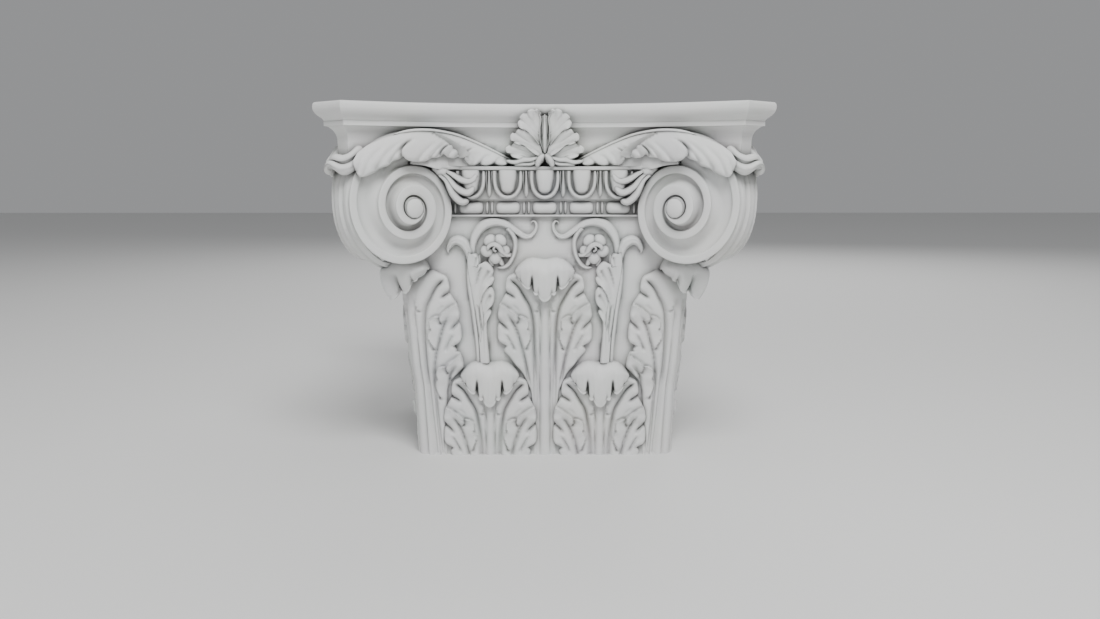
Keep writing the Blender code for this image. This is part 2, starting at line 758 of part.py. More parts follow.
def make_cutter(collection):
    """Box under the capital that leaves its underside flat."""
    shell = bmesh.new()
    bmesh.ops.create_cube(shell, size=1.0)
    depth = 8.0 * ROOT
    width = 3.0 * HORN_REACH
    matrix = Matrix.Translation((0.0, 0.0, -depth / 2.0)) @ Matrix.Diagonal((width, width, depth, 1.0))
    bmesh.ops.transform(shell, matrix=matrix, verts=shell.verts)
    mesh = bpy.data.meshes.new("underside_cut")
    shell.to_mesh(mesh)
    shell.free()
    cutter = bpy.data.objects.new("underside_cut", mesh)
    cutter.display_type = "WIRE"
    cutter.hide_render = True
    collection.objects.link(cutter)
    return cutter


def main():
    """Builds the capital as one object, with every carving fused to the bell."""
    clear_scene()
    parts = new_collection("column_capital")
    fused = new_collection("carvings")
    cutters = new_collection("cutters")
    carving = Carving(fused)
    carving.add("band", make_band(), repeated=False)
    carving.add("abacus", make_abacus(), repeated=False)
    add_band_ornament(carving)
    carving.add("scroll_pair", make_scroll_pair())
    carving.add("scroll_eye", make_eye(), mirrored=True)
    carving.add("channel", make_channel(), mirrored=True)
    carving.add("spray", make_spray(), mirrored=True)
    carving.add("palm", make_palm(), mirrored=True)
    add_leaves(carving)
    add_stalks(carving)
    carving.add("flower", make_flower())
    carving.add("flower_drop", make_flower_drop())

    mesh = bpy.data.meshes.new("capital")
    bell = make_bell()
    bell.to_mesh(mesh)
    bell.free()
    mesh.materials.append(plaster())
    capital = bpy.data.objects.new("capital", mesh)
    parts.objects.link(capital)

    fuse = capital.modifiers.new("fuse", "BOOLEAN")
    fuse.operation = "UNION"
    fuse.operand_type = "COLLECTION"
    fuse.collection = fused
    fuse.solver = "EXACT"
    flatten = capital.modifiers.new("flatten", "DECIMATE")
    flatten.decimate_type = "DISSOLVE"
    flatten.angle_limit = FLATTEN_ANGLE
    cut = capital.modifiers.new("cut", "BOOLEAN")
    cut.operation = "DIFFERENCE"
    cut.object = make_cutter(cutters)
    cut.solver = "EXACT"


main()
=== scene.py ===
"""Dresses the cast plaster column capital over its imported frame.

Every carving is a piece of its own in the frame's metres. The capital has four like faces, so each
carving is shaped once on the front face, and then mirrored and turned to its other places.
"""

import logging
import math
from dataclasses import dataclass, field
from enum import Enum
from typing import Callable, Sequence

import bmesh
import bpy
import numpy as np
from mathutils import Matrix, Vector
from mathutils.bvhtree import BVHTree


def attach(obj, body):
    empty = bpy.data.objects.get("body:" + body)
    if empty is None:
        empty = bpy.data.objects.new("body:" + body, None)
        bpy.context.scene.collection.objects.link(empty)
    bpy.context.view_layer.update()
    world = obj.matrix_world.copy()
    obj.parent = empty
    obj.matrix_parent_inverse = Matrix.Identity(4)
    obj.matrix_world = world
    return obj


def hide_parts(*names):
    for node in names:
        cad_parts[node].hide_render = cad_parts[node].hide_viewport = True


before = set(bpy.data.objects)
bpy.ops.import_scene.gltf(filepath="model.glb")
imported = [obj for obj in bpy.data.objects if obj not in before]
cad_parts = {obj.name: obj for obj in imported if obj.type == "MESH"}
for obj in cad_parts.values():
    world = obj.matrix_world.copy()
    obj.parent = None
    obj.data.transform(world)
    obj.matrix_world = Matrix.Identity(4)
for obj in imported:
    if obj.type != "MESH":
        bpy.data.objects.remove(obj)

logging.basicConfig(level=logging.INFO, format="%(message)s")
LOG = logging.getLogger("capital")

MM = 0.001
WELD = 0.01 * MM
HALVINGS = 40
GOLDEN_ANGLE = math.pi * (3.0 - math.sqrt(5.0))
Array = np.ndarray
Mesh = bmesh.types.BMesh
Layer = Callable[[Array, Array], Array]
Placer = Callable[[Array, Array, Array], Array]
Points = Sequence[tuple[float, float]]
Pieces = Sequence[tuple[bpy.types.Object, int]]


class Repeat(Enum):
    """How a carving is repeated around the capital."""

    ONCE = "once"
    FACES = "faces"
    HALVES = "halves"


# Lines and shares


def curve(points: Points, steps: int = 6) -> Array:
    """Smooth line through a few points.

    Args:
        points: Corners that the line passes through.
        steps: Pieces between two corners.

    Returns:
        Points of the line, one a row.
    """
    knots = np.array(points, dtype=float)
    ends = np.vstack([2.0 * knots[0] - knots[1], knots, 2.0 * knots[-1] - knots[-2]])
    share = np.linspace(0.0, 1.0, steps, endpoint=False)[:, None]
    spans = []
    for i in range(len(knots) - 1):
        a, b, c, d = ends[i], ends[i + 1], ends[i + 2], ends[i + 3]
        cubic = 2.0 * a - 5.0 * b + 4.0 * c - d
        turn = 3.0 * b - a - 3.0 * c + d
        spans.append(0.5 * (2.0 * b + (c - a) * share + cubic * share**2 + turn * share**3))
    return np.vstack([*spans, knots[-1:]])


def ease(share: Array) -> Array:
    """Smooth step from 0 to 1."""
    held = np.clip(share, 0.0, 1.0)
    return held * held * (3.0 - 2.0 * held)


@dataclass
class Relief:
    """Height of a carved surface over a flat pattern, worked up by cuts and laps.

    The pattern's coordinates and all sizes are in millimetres.
    """

    across: Array
    down: Array
    height: Array

    def near(self, line: Array) -> tuple[Array, Array, Array]:
        """Finds the nearest place on a line for every point.

        Args:
            line: Points of the line.

        Returns:
            Distance, share along the line, and side, which is 1 on the line's right.
        """
        best = np.full(self.across.shape, 1e9)
        share = np.zeros_like(best)
        side = np.ones_like(best)
        last = len(line) - 1
        for i in range(last):
            start, span = line[i], line[i + 1] - line[i]
            length = max(float(span @ span), 1e-12)
            px, py = self.across - start[0], self.down - start[1]
            at = np.clip((px * span[0] + py * span[1]) / length, 0.0, 1.0)
            gap = np.hypot(px - at * span[0], py - at * span[1])
            closer = gap < best
            best = np.where(closer, gap, best)
            share = np.where(closer, (i + at) / last, share)
            side = np.where(closer, np.sign(span[1] * px - span[0] * py), side)
        return best, share, side

    def groove(self, points: Points, width: float, depth: float,
               fade: tuple[float, float] = (0.0, 0.3)) -> None:
        """Cuts a groove along a line.

        Args:
            points: Corners of the line.
            width: Distance from its middle to where it has nearly run out.
            depth: Depth at its middle.
            fade: Shares of the line over which its start and end run out.
        """
        gap, share, _ = self.near(curve(points))
        strength = ease(share / max(fade[0], 1e-6)) * ease((1.0 - share) / max(fade[1], 1e-6))
        self.height -= depth * strength * np.exp(-((gap / width) ** 1.5))

    def lap(self, points: Points, rise: float, fall: float, reach: float,
            fade: tuple[float, float] = (0.0, 0.25)) -> None:
        """Lays the part on the line's right over the part on its left.

        Args:
            points: Corners of the edge that lies on top.
            rise: Height of that edge over the surface.
            fall: Depth of the part below, at the edge.
            reach: Distance over which the rise runs out.
            fade: Shares of the line over which its start and end run out.
        """
        gap, share, side = self.near(curve(points))
        strength = ease(share / max(fade[0], 1e-6)) * ease((1.0 - share) / max(fade[1], 1e-6))
        over = ease(0.5 + side * gap / 1.4)
        upper = rise * np.exp(-gap / reach)
        lower = -fall * np.exp(-gap / (0.45 * reach))
        self.height += strength * (over * upper + (1.0 - over) * lower)

    def swell(self, spot: tuple[float, float], size: float, rise: float) -> None:
        """Raises a soft mound at a spot, or a hollow where the rise is below 0."""
        gap = np.hypot(self.across - spot[0], self.down - spot[1])
        self.height += rise * np.exp(-((gap / size) ** 2))


# Surfaces that the carvings lie on


@dataclass(frozen=True)
class Bell:
    """Plain bell: a square with rounded corners that flares upwards."""

    height: float = 0.341
    base: float = 0.180
    top: float = 0.199
    bow: float = 1.2
    corner: float = 0.030

    def reach(self, z: Array) -> Array:
        """Half-width of the bell at a height."""
        return self.base + (self.top - self.base) * np.clip(z / self.height, 0.0, 1.0) ** self.bow

    def place(self, along: Array, z: Array, lift: Array) -> Array:
        """Puts points on the bell.

        Args:
            along: Distance along the front face from its middle, which runs on round the corners.
            z: Height.
            lift: Distance off the bell.

        Returns:
            Places in space, one a row.
        """
        flat = self.reach(z) - self.corner
        past = np.maximum(np.abs(along) - flat, 0.0)
        angle = np.minimum(past / self.corner, math.pi / 2.0)
        rest = past - self.corner * angle
        radius = self.corner + lift
        x = np.minimum(np.abs(along), flat) + radius * np.sin(angle)
        y = -flat - radius * np.cos(angle) + rest
        return np.column_stack([np.copysign(x, along), y, z])

    def place_corner(self, along: Array, z: Array, lift: Array) -> Array:
        """Puts points on the bell, measured from the middle of the front left corner."""
        middle = self.reach(z) - self.corner + self.corner * math.pi / 4.0
        return self.place(along - middle, z, lift)


@dataclass(frozen=True)
class Hollow:
    """Plan of the abacus: four hollow sides between cut horns."""

    horn: float = 0.300
    half: float = 0.2554
    middle: float = 0.218

    @property
    def radius(self) -> float:
        """Radius of a hollow side."""
        deep = self.horn - self.middle
        return (self.half**2 + deep**2) / (2.0 * deep)

    def depth(self, x: Array, inset: Array) -> Array:
        """Distance of the side from the axis at x, with the outline drawn in by inset."""
        return self.middle + self.radius - np.sqrt((self.radius + inset) ** 2 - x * x)

    def end(self, inset: float) -> float:
        """Half-length of the side where it meets the cut horn, or the next side where the horn is used up."""
        diagonal = self.half + self.horn - math.sqrt(2.0) * inset
        low, high = 0.0, self.half * 1.1
        for _ in range(HALVINGS):
            middle = (low + high) / 2.0
            deep = float(self.depth(np.array(middle), np.array(inset)))
            if middle + deep < diagonal and middle < deep:
                low = middle
            else:
                high = middle
        return low


BELL = Bell()
HOLLOW = Hollow()
BAND_TOP = 0.408
BAND_REACH = 0.206
BAND_LEAN = 0.004

# Angles in degrees over which an edge stays sharp
SMOOTH = 60.0
CRISP = 45.0


# Making meshes


def sheet(columns: int, rows: int, place: Layer) -> Mesh:
    """Grid that is laid out by a function, and closed at its back.

    Args:
        columns: Faces in the first direction.
        rows: Faces in the second direction.
        place: Gives the places for two arrays of shares from 0 to 1.

    Returns:
        The closed mesh.
    """
    return close(open_sheet(columns, rows, place))


def open_sheet(columns: int, rows: int, place: Layer) -> Mesh:
    """Grid that is laid out by a function, with its edge left open."""
    shell = bmesh.new()
    bmesh.ops.create_grid(shell, x_segments=columns, y_segments=rows, size=1.0)
    flat = np.array([vert.co[:2] for vert in shell.verts])
    share = (flat - flat.min(axis=0)) / (flat.max(axis=0) - flat.min(axis=0))
    spots = place(share[:, 0], share[:, 1])
    for vert, spot in zip(shell.verts, spots):
        vert.co = spot
    return shell


def close(shell: Mesh, weld: float = 0.0) -> Mesh:
    """Joins points that meet, fills what is open and turns the faces outwards.

    Args:
        shell: The mesh, which is changed.
        weld: Distance within which points are joined.

    Returns:
        The same mesh.
    """
    if weld:
        bmesh.ops.remove_doubles(shell, verts=shell.verts, dist=weld)
    bmesh.ops.holes_fill(shell, edges=[edge for edge in shell.edges if edge.is_boundary], sides=0)
    bmesh.ops.recalc_face_normals(shell, faces=shell.faces)
    return shell


def everything(shell: Mesh) -> list:
    """Points, edges and faces of a mesh."""
    return shell.verts[:] + shell.edges[:] + shell.faces[:]


def twin(shell: Mesh, source: list) -> tuple[list, list]:
    """Doubles a part of a mesh in its place, and gives the copy's points and faces."""
    made = bmesh.ops.duplicate(shell, geom=source)["geom"]
    verts = [item for item in made if isinstance(item, bmesh.types.BMVert)]
    return verts, [item for item in made if isinstance(item, bmesh.types.BMFace)]


def mirror(shell: Mesh, verts: list, faces: list) -> None:
    """Mirrors a part of a mesh from left to right."""
    bmesh.ops.scale(shell, vec=(-1.0, 1.0, 1.0), verts=verts)
    bmesh.ops.reverse_faces(shell, faces=faces)


def ball(around: int, up: int, radius: float, matrix: Matrix) -> Mesh:
    """Ball that is stretched, turned and put in its place by a matrix."""
    shell = bmesh.new()
    bmesh.ops.create_uvsphere(shell, u_segments=around, v_segments=up, radius=radius)
    bmesh.ops.transform(shell, matrix=matrix, verts=shell.verts)
    return shell


def spaced(share: Array, stops: Sequence[float]) -> Array:
    """Value at a share of a row of stops, which are evenly spaced in share."""
    return np.interp(share, np.linspace(0.0, 1.0, len(stops)), stops)


@dataclass
class Ribbon:
    """Carved strip along a route on a surface: rounded across, with a groove where it has one.

    The route is in millimetres across and up, and so are the widths and heights along it.
    """

    route: Points
    half: Sequence[float]
    proud: Sequence[float]
    groove: float = 0.0
    length_steps: int = 18
    cross_steps: int = 8
    root: float = 3.0
    square: float = 2.2

    def build(self, place: Placer) -> Mesh:
        """Makes the strip on a surface.

        Args:
            place: Puts points at metres across, up and off the surface.

        Returns:
            The closed mesh.
        """
        line = curve(self.route, 8)
        walked = np.concatenate([[0.0], np.cumsum(np.hypot(*np.diff(line, axis=0).T))])
        tangent = np.gradient(line, walked, axis=0)
        tangent /= np.maximum(np.linalg.norm(tangent, axis=1), 1e-9)[:, None]
        steps = self.cross_steps

        def lay(u: Array, v: Array) -> Array:
            """Places for shares along and across."""
            at = u * walked[-1]
            x, y = (np.interp(at, walked, line[:, i]) for i in (0, 1))
            tx, ty = (np.interp(at, walked, tangent[:, i]) for i in (0, 1))
            size = np.hypot(tx, ty)
            across = np.interp(v, [0.0, 1.0 / (steps + 2), 1.0 - 1.0 / (steps + 2), 1.0],
                               [-1.0, -1.0, 1.0, 1.0])
            half, proud = spaced(u, self.half), spaced(u, self.proud)
            round_end = np.sqrt(np.clip(1.0 - np.maximum(u - 0.86, 0.0) ** 2 / 0.14**2, 0.0, 1.0))
            half = half * np.maximum(round_end, 0.06)
            swell = (1.0 - np.abs(across) ** self.square) ** 0.6
            lift = proud * (0.25 + 0.75 * swell) * (0.55 + 0.45 * round_end)
            lift -= self.groove * np.exp(-((across / 0.22) ** 2)) * ease((1.0 - u) / 0.2)
            hem = (v < 0.5 / (steps + 2)) | (v > 1.0 - 0.5 / (steps + 2)) | (u > 0.999) | (u < 0.001)
            lift = np.where(hem, -self.root, lift)
            return place((x - ty / size * half * across) * MM, (y + tx / size * half * across) * MM, lift * MM)

        return sheet(self.length_steps, steps + 2, lay)


@dataclass
class Frond:
    """Carved lobe or leaf on a surface: a sheet from its spine out to a scalloped edge.

    Lines are in millimetres across and up.
    """

    spine: Points
    edge: Points
    lifts: Sequence[float]
    grooves: Sequence[tuple[Points, float, float]] = ()
    laps: Sequence[tuple[Points, float, float, float]] = ()
    along_steps: int = 60
    out_steps: int = 14
    root: float = 4.0
    rim: float = 2.0
    soft: float = 1.5
    least: float = 3.0

    def build(self, place: Placer) -> Mesh:
        """Makes the frond on a surface.

        Args:
            place: Puts points at metres across, up and off the surface.

        Returns:
            The closed mesh.
        """
        spine, edge = curve(self.spine, 8), curve(self.edge, 4)
        steps = self.out_steps + 2

        def lay(u: Array, v: Array) -> Array:
            """Places for shares along and across."""
            start = np.column_stack([spaced(u, spine[:, i]) for i in (0, 1)])
            end = np.column_stack([spaced(u, edge[:, i]) for i in (0, 1)])
            share = np.interp(v, [0.0, 1.0 / steps, 1.0 - 1.0 / steps, 1.0], [0.0, 0.0, 1.0, 1.0])
            share = 1.0 - (1.0 - share) ** 1.3
            spot = start + (end - start) * share[:, None]
            work = Relief(spot[:, 0], spot[:, 1], spaced(share, self.lifts))
            for line, width, depth in self.grooves:
                work.groove(line, width * self.soft, depth, (0.0, 0.45))
                work.groove(line[:2], width * 0.6, depth * 0.7, (0.0, 0.9))
            for line, rise, fall, reach in self.laps:
                work.lap(line, rise, fall, reach, (0.45, 0.0))
            length = np.linalg.norm(end - start, axis=1)
            work.height = np.maximum(work.height - self.rim * np.exp(-(1.0 - share) * length / 0.9), self.least)
            hem = (v < 0.5 / steps) | (v > 1.0 - 0.5 / steps) | (u < 0.0005) | (u > 0.9995)
            lift = np.where(hem, -self.root, work.height)
            return place(spot[:, 0] * MM, spot[:, 1] * MM, lift * MM)

        return sheet(self.along_steps, steps, lay)


@dataclass
class Bench:
    """Turns carvings into pieces of the scene, and keeps count of them."""

    finish: "Plaster"
    made: dict[str, int] = field(default_factory=dict)
    pieces: list[tuple[bpy.types.Object, int]] = field(default_factory=list)

    def merge(self, shells: Sequence[Mesh]) -> Mesh:
        """Joins several meshes in one, and frees them."""
        whole = bmesh.new()
        for shell in shells:
            mesh = bpy.data.meshes.new("joined")
            shell.to_mesh(mesh)
            shell.free()
            whole.from_mesh(mesh)
            bpy.data.meshes.remove(mesh)
        return whole

    def repeat(self, shell: Mesh, how: Repeat) -> Mesh:
        """Repeats a carving on the other half of its face, and on the other faces."""
        if how is Repeat.ONCE:
            return shell
        if how is Repeat.HALVES:
            mirror(shell, *twin(shell, everything(shell)))
        source = everything(shell)
        for quarter in (1, 2, 3):
            turn = Matrix.Rotation(quarter * math.pi / 2.0, 3, "Z")
            bmesh.ops.rotate(shell, cent=(0.0, 0.0, 0.0), matrix=turn, verts=twin(shell, source)[0])
        return shell

    def add(self, name: str, shells: Sequence[Mesh], how: Repeat, sharp: float = 50.0) -> bpy.types.Object:
        """Makes one piece of the scene out of carvings.

        Args:
            name: The piece's name.
            shells: The meshes that it is made of, which are used up.
            how: Where else the carvings stand.
            sharp: Angle in degrees over which an edge stays crisp.

        Returns:
            The piece, which rides on the capital.
        """
        whole = self.repeat(self.merge(shells), how)
        mesh = bpy.data.meshes.new(name)
        whole.to_mesh(mesh)
        whole.free()
        for polygon in mesh.polygons:
            polygon.use_smooth = True
        mesh.set_sharp_from_angle(angle=math.radians(sharp))
        piece = bpy.data.objects.new(name, mesh)
        bpy.context.scene.collection.objects.link(piece)
        piece.data.materials.append(self.finish.material())
        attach(piece, "root")
        count = sum(len(polygon.vertices) - 2 for polygon in mesh.polygons)
        self.made[name] = count
        self.pieces.append((piece, {Repeat.ONCE: 1, Repeat.FACES: 4, Repeat.HALVES: 8}[how]))
        LOG.info("%s: %d triangles", name, count)
        return piece


@dataclass
class OcclusionShade:
    """Works out how closed in each point of the surface is, by casting rays; the plaster is painted darker
    there as painted shade.
    """

    reach: float = 26.0 * MM
    start: float = 0.3 * MM
    rays: int = 16
    spread: float = 0.97
    falloff: float = 0.7
    blur: int = 1

    def fan(self) -> Array:
        """Directions spread over the half space about +Z, most of them near it."""
        order = np.arange(self.rays) + 0.5
        size = np.sqrt(order / self.rays) * self.spread
        angle = order * GOLDEN_ANGLE
        return np.column_stack([size * np.cos(angle), size * np.sin(angle), np.sqrt(1.0 - size**2)])

    def tree(self, pieces: Pieces) -> BVHTree:
        """Search tree of all pieces together."""
        spots, corners, offset = [], [], 0
        for piece, _ in pieces:
            mesh = piece.data
            spots.append(vectors(mesh.vertices, "co"))
            mesh.calc_loop_triangles()
            tri = np.empty(len(mesh.loop_triangles) * 3, dtype=np.int64)
            mesh.loop_triangles.foreach_get("vertices", tri)
            corners.append(tri.reshape(-1, 3) + offset)
            offset += len(mesh.vertices)
        return BVHTree.FromPolygons(np.vstack(spots).tolist(), np.vstack(corners).tolist(), all_triangles=True)

    def settle(self, pieces: Pieces) -> None:
        """Stores the value on each piece, worked out on one of its like parts.

        Args:
            pieces: Each piece with the number of its like parts, which follow each other.
        """
        tree, fan = self.tree(pieces), self.fan()
        for piece, parts in pieces:
            mesh = piece.data
            count = len(mesh.vertices) // parts
            spots = vectors(mesh.vertices, "co")[:count]
            normals = vectors(mesh.vertex_normals, "vector")[:count]
            side = np.where(np.abs(normals[:, 2:]) > 0.9, (1.0, 0.0, 0.0), (0.0, 0.0, 1.0))
            first = np.cross(normals, side)
            first /= np.maximum(np.linalg.norm(first, axis=1), 1e-9)[:, None]
            second = np.cross(normals, first)
            starts = (spots + normals * self.start).tolist()
            closed = np.zeros(count)
            for ray in fan:
                aims = (first * ray[0] + second * ray[1] + normals * ray[2]).tolist()
                for i, (start, aim) in enumerate(zip(starts, aims)):
                    gap = tree.ray_cast(start, aim, self.reach)[3]
                    if gap is not None:
                        closed[i] += 1.0 - (gap / self.reach) ** self.falloff
            value = self.soften(mesh, np.tile(closed / self.rays, parts))
            # Stored as the "hollow" attribute, which the plaster material turns into painted shade.
            attribute = mesh.attributes.new("hollow", "FLOAT", "POINT")
            attribute.data.foreach_set("value", value.astype(np.float32))

    def soften(self, mesh: bpy.types.Mesh, value: Array) -> Array:
        """Evens out the value between neighbours."""
        ends = np.empty(len(mesh.edges) * 2, dtype=np.int64)
        mesh.edges.foreach_get("vertices", ends)
        a, b = ends[0::2], ends[1::2]
        count = len(value)
        degree = np.maximum(np.bincount(ends, minlength=count), 1)
        for _ in range(self.blur):
            total = np.bincount(a, value[b], count) + np.bincount(b, value[a], count)
            value = 0.5 * value + 0.5 * total / degree
        return value


def vectors(items: bpy.types.bpy_prop_collection, name: str) -> Array:
    """Reads a property of three numbers from each item, one item a row."""
    values = np.empty(len(items) * 3)
    items.foreach_get(name, values)
    return values.reshape(-1, 3)


# Finishes


@dataclass(frozen=True)
class Plaster:
    """Cast plaster: matt, pale grey, with painted shade that darkens its creases and a painted lighter tone on
    open surfaces, and a fine dusty grain.
    """

    # Painted shading ramp: crest is the painted lit tone of open surfaces, pale the middle tone, shade the
    # painted shade of closed-in creases.
    pale: tuple[float, float, float] = (0.470, 0.474, 0.466)
    shade: tuple[float, float, float] = (0.085, 0.087, 0.085)
    crest: tuple[float, float, float] = (0.690, 0.694, 0.685)
    roughness: float = 0.62
    specular: float = 0.3
    grain: float = 900.0
    clouds: float = 14.0
    mottling: float = 0.10
    bump: float = 0.10
    bump_depth: float = 0.2 * MM
    pale_stop: float = 0.25
    shade_stop: float = 0.70

    def material(self) -> bpy.types.Material:
        """Gives the material, which is made once."""
        ready = bpy.data.materials.get("cast_plaster")
        return ready if ready else self.make()

    def make(self) -> bpy.types.Material:
        """Makes the material's nodes."""
        material = bpy.data.materials.new("cast_plaster")
        material.use_nodes = True
        tree = material.node_tree
        nodes, links = tree.nodes, tree.links
        shader = nodes["Principled BSDF"]
        shader.inputs["Roughness"].default_value = self.roughness
        shader.inputs["Specular IOR Level"].default_value = self.specular
        place = nodes.new("ShaderNodeTexCoord")
        # The baked occlusion value, which the ramp below turns into painted light and shade.
        hollow = nodes.new("ShaderNodeAttribute")
        hollow.attribute_name = "hollow"
        tone = nodes.new("ShaderNodeValToRGB")
        ramp = tone.color_ramp
        ramp.elements[0].position, ramp.elements[0].color = 0.0, (*self.crest, 1.0)
        ramp.elements[1].position, ramp.elements[1].color = self.shade_stop, (*self.shade, 1.0)
        middle = ramp.elements.new(self.pale_stop)
        middle.color = (*self.pale, 1.0)
        clouds = nodes.new("ShaderNodeTexNoise")
        clouds.inputs["Scale"].default_value = self.clouds
        clouds.inputs["Detail"].default_value = 4.0
        mottle = nodes.new("ShaderNodeMix")
        mottle.data_type, mottle.blend_type = "RGBA", "SOFT_LIGHT"
        mottle.inputs["Factor"].default_value = self.mottling
        grain = nodes.new("ShaderNodeTexNoise")
        grain.inputs["Scale"].default_value = self.grain
        grain.inputs["Detail"].default_value = 3.0
        pores = nodes.new("ShaderNodeTexVoronoi")
        pores.inputs["Scale"].default_value = self.grain * 0.35
        sum_up = nodes.new("ShaderNodeMath")
        sum_up.operation = "MULTIPLY_ADD"
        sum_up.inputs[1].default_value = 0.35
        bump = nodes.new("ShaderNodeBump")
        bump.inputs["Strength"].default_value = self.bump
        bump.inputs["Distance"].default_value = self.bump_depth
        links.new(place.outputs["Object"], clouds.inputs["Vector"])
        links.new(place.outputs["Object"], grain.inputs["Vector"])
        links.new(place.outputs["Object"], pores.inputs["Vector"])
        links.new(hollow.outputs["Fac"], tone.inputs["Fac"])
        links.new(tone.outputs["Color"], mottle.inputs["A"])
        links.new(clouds.outputs["Color"], mottle.inputs["B"])
        links.new(mottle.outputs["Result"], shader.inputs["Base Color"])
        links.new(pores.outputs["Distance"], sum_up.inputs[0])
        links.new(grain.outputs["Fac"], sum_up.inputs[2])
        links.new(sum_up.outputs["Value"], bump.inputs["Height"])
        links.new(bump.outputs["Normal"], shader.inputs["Normal"])
        return material


# Plain body


@dataclass
class Body:
    """Bell, band and abacus, which the carvings stand on."""

    side_steps: int = 72
    horn_steps: int = 4
    bell_steps: int = 84
    bell_rows: int = 64
    bell_lap: float = 0.004

    def bell(self) -> Mesh:
        """One face of the bell, from the middle of one corner to the next."""

        def lay(u: Array, v: Array) -> Array:
            """Places for shares along and across."""
            z = BELL.height * v + self.bell_lap * v
            middle = BELL.reach(z) - BELL.corner + BELL.corner * math.pi / 4.0
            share = np.sin((u - 0.5) * math.pi) * 0.45 + (u - 0.5) * 1.1
            return BELL.place(share * middle, z, np.zeros_like(z))

        return open_sheet(self.bell_steps, self.bell_rows, lay)

    def band_profile(self) -> list[tuple[float, float]]:
        """Reach and height of the band from the bell's top line up to the channel."""
        reach, lean = BAND_REACH, BAND_LEAN
        low = BELL.height
        return [
            (0.190, low - 0.0005), (reach - 0.0005, low - 0.0005), (reach, low), (reach, low + 0.0012),
            (reach - 0.0008, low + 0.0018), (reach - 1.6 * lean, low + 0.0022), (reach - 1.6 * lean, 0.3606),
            (reach - 0.7 * lean, 0.3625), (reach, 0.3640), (reach + lean * 0.5, 0.384), (reach + lean, 0.4025),
            (reach + lean + 0.0040, 0.4032), (reach + lean + 0.0050, 0.4040), (reach + lean + 0.0050, 0.4072),
            (reach + lean + 0.0042, 0.4080), (0.193, 0.4085), (0.190, 0.4235),
        ]

    def band(self) -> Mesh:
        """One side of the band behind the eggs and beads."""
        profile = np.array(self.band_profile())

        def lay(u: Array, v: Array) -> Array:
            """Places for shares along and across."""
            reach, z = spaced(v, profile[:, 0]), spaced(v, profile[:, 1])
            return np.column_stack([(2.0 * u - 1.0) * reach, -reach, z])

        return open_sheet(12, len(profile) - 1, lay)

    def abacus_profile(self) -> Array:
        """Inset and height of the abacus's mouldings from the bottom up, in millimetres."""
        neck = [(80.0, 422.5), (60.0, 422.5), (24.6, 422.5), (24.0, 423.0), (23.8, 424.0), (23.8, 431.0),
                (23.8, 438.0)]
        hollow = curve([(23.8, 440.0), (23.2, 445.5), (21.6, 450.5), (19.0, 454.6), (15.2, 458.2),
                        (13.8, 459.0)], 3)
        fillet = [(12.9, 459.3), (11.1, 459.5), (10.7, 459.9), (10.7, 462.5), (10.7, 465.2), (10.9, 465.6),
                  (11.2, 465.9)]
        ovolo = curve([(10.8, 466.2), (8.6, 469.4), (4.6, 473.0), (1.8, 476.8), (0.2, 481.0), (0.0, 485.0)], 3)
        top = [(0.3, 487.6), (1.2, 489.2), (2.6, 489.9), (4.2, 490.0), (30.0, 490.0), (80.0, 490.0),
               (81.0, 490.0)]
        return np.vstack([neck, hollow, fillet, ovolo, top])

    def abacus(self) -> Mesh:
        """One side of the abacus, with half of the cut horn at each end."""
        profile = self.abacus_profile()
        ends = np.array([HOLLOW.end(inset * MM) for inset in profile[:, 0]])
        side, horn = self.side_steps, self.horn_steps
        total = side + 2 * horn

        def lay(u: Array, v: Array) -> Array:
            """Places for shares along and across."""
            inset, z = spaced(v, profile[:, 0]) * MM, spaced(v, profile[:, 1]) * MM
            end = spaced(v, ends)
            step = (u - 0.5) * total
            x = np.clip(step / (side / 2.0), -1.0, 1.0) * end
            past = np.clip((np.abs(step) - side / 2.0) / horn, 0.0, 1.0)
            deep = HOLLOW.depth(np.abs(x), inset)
            corner = (end + HOLLOW.depth(end, inset)) / 2.0
            x = np.copysign(np.abs(x) + (corner - np.abs(x)) * past, step)
            y = -(deep + (corner - deep) * past)
            row = np.rint(v * (len(profile) - 1))
            drawn = np.where((row == 0) | (row == len(profile) - 1), 0.0, 1.0)
            return np.column_stack([x * drawn, y * drawn, z])

        return open_sheet(total, len(profile) - 1, lay)

    def build(self, bench: Bench) -> None:
        """Makes the three plain pieces."""
        for name, make, sharp in (("bell", self.bell, 60.0), ("band", self.band, 30.0),
                                  ("abacus", self.abacus, 26.0)):
            whole = close(bench.repeat(make(), Repeat.FACES), 2.0 * WELD)
            piece = bench.add(name, [whole], Repeat.ONCE, sharp)
            if name == "bell":
                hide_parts("capital")


# Leaves


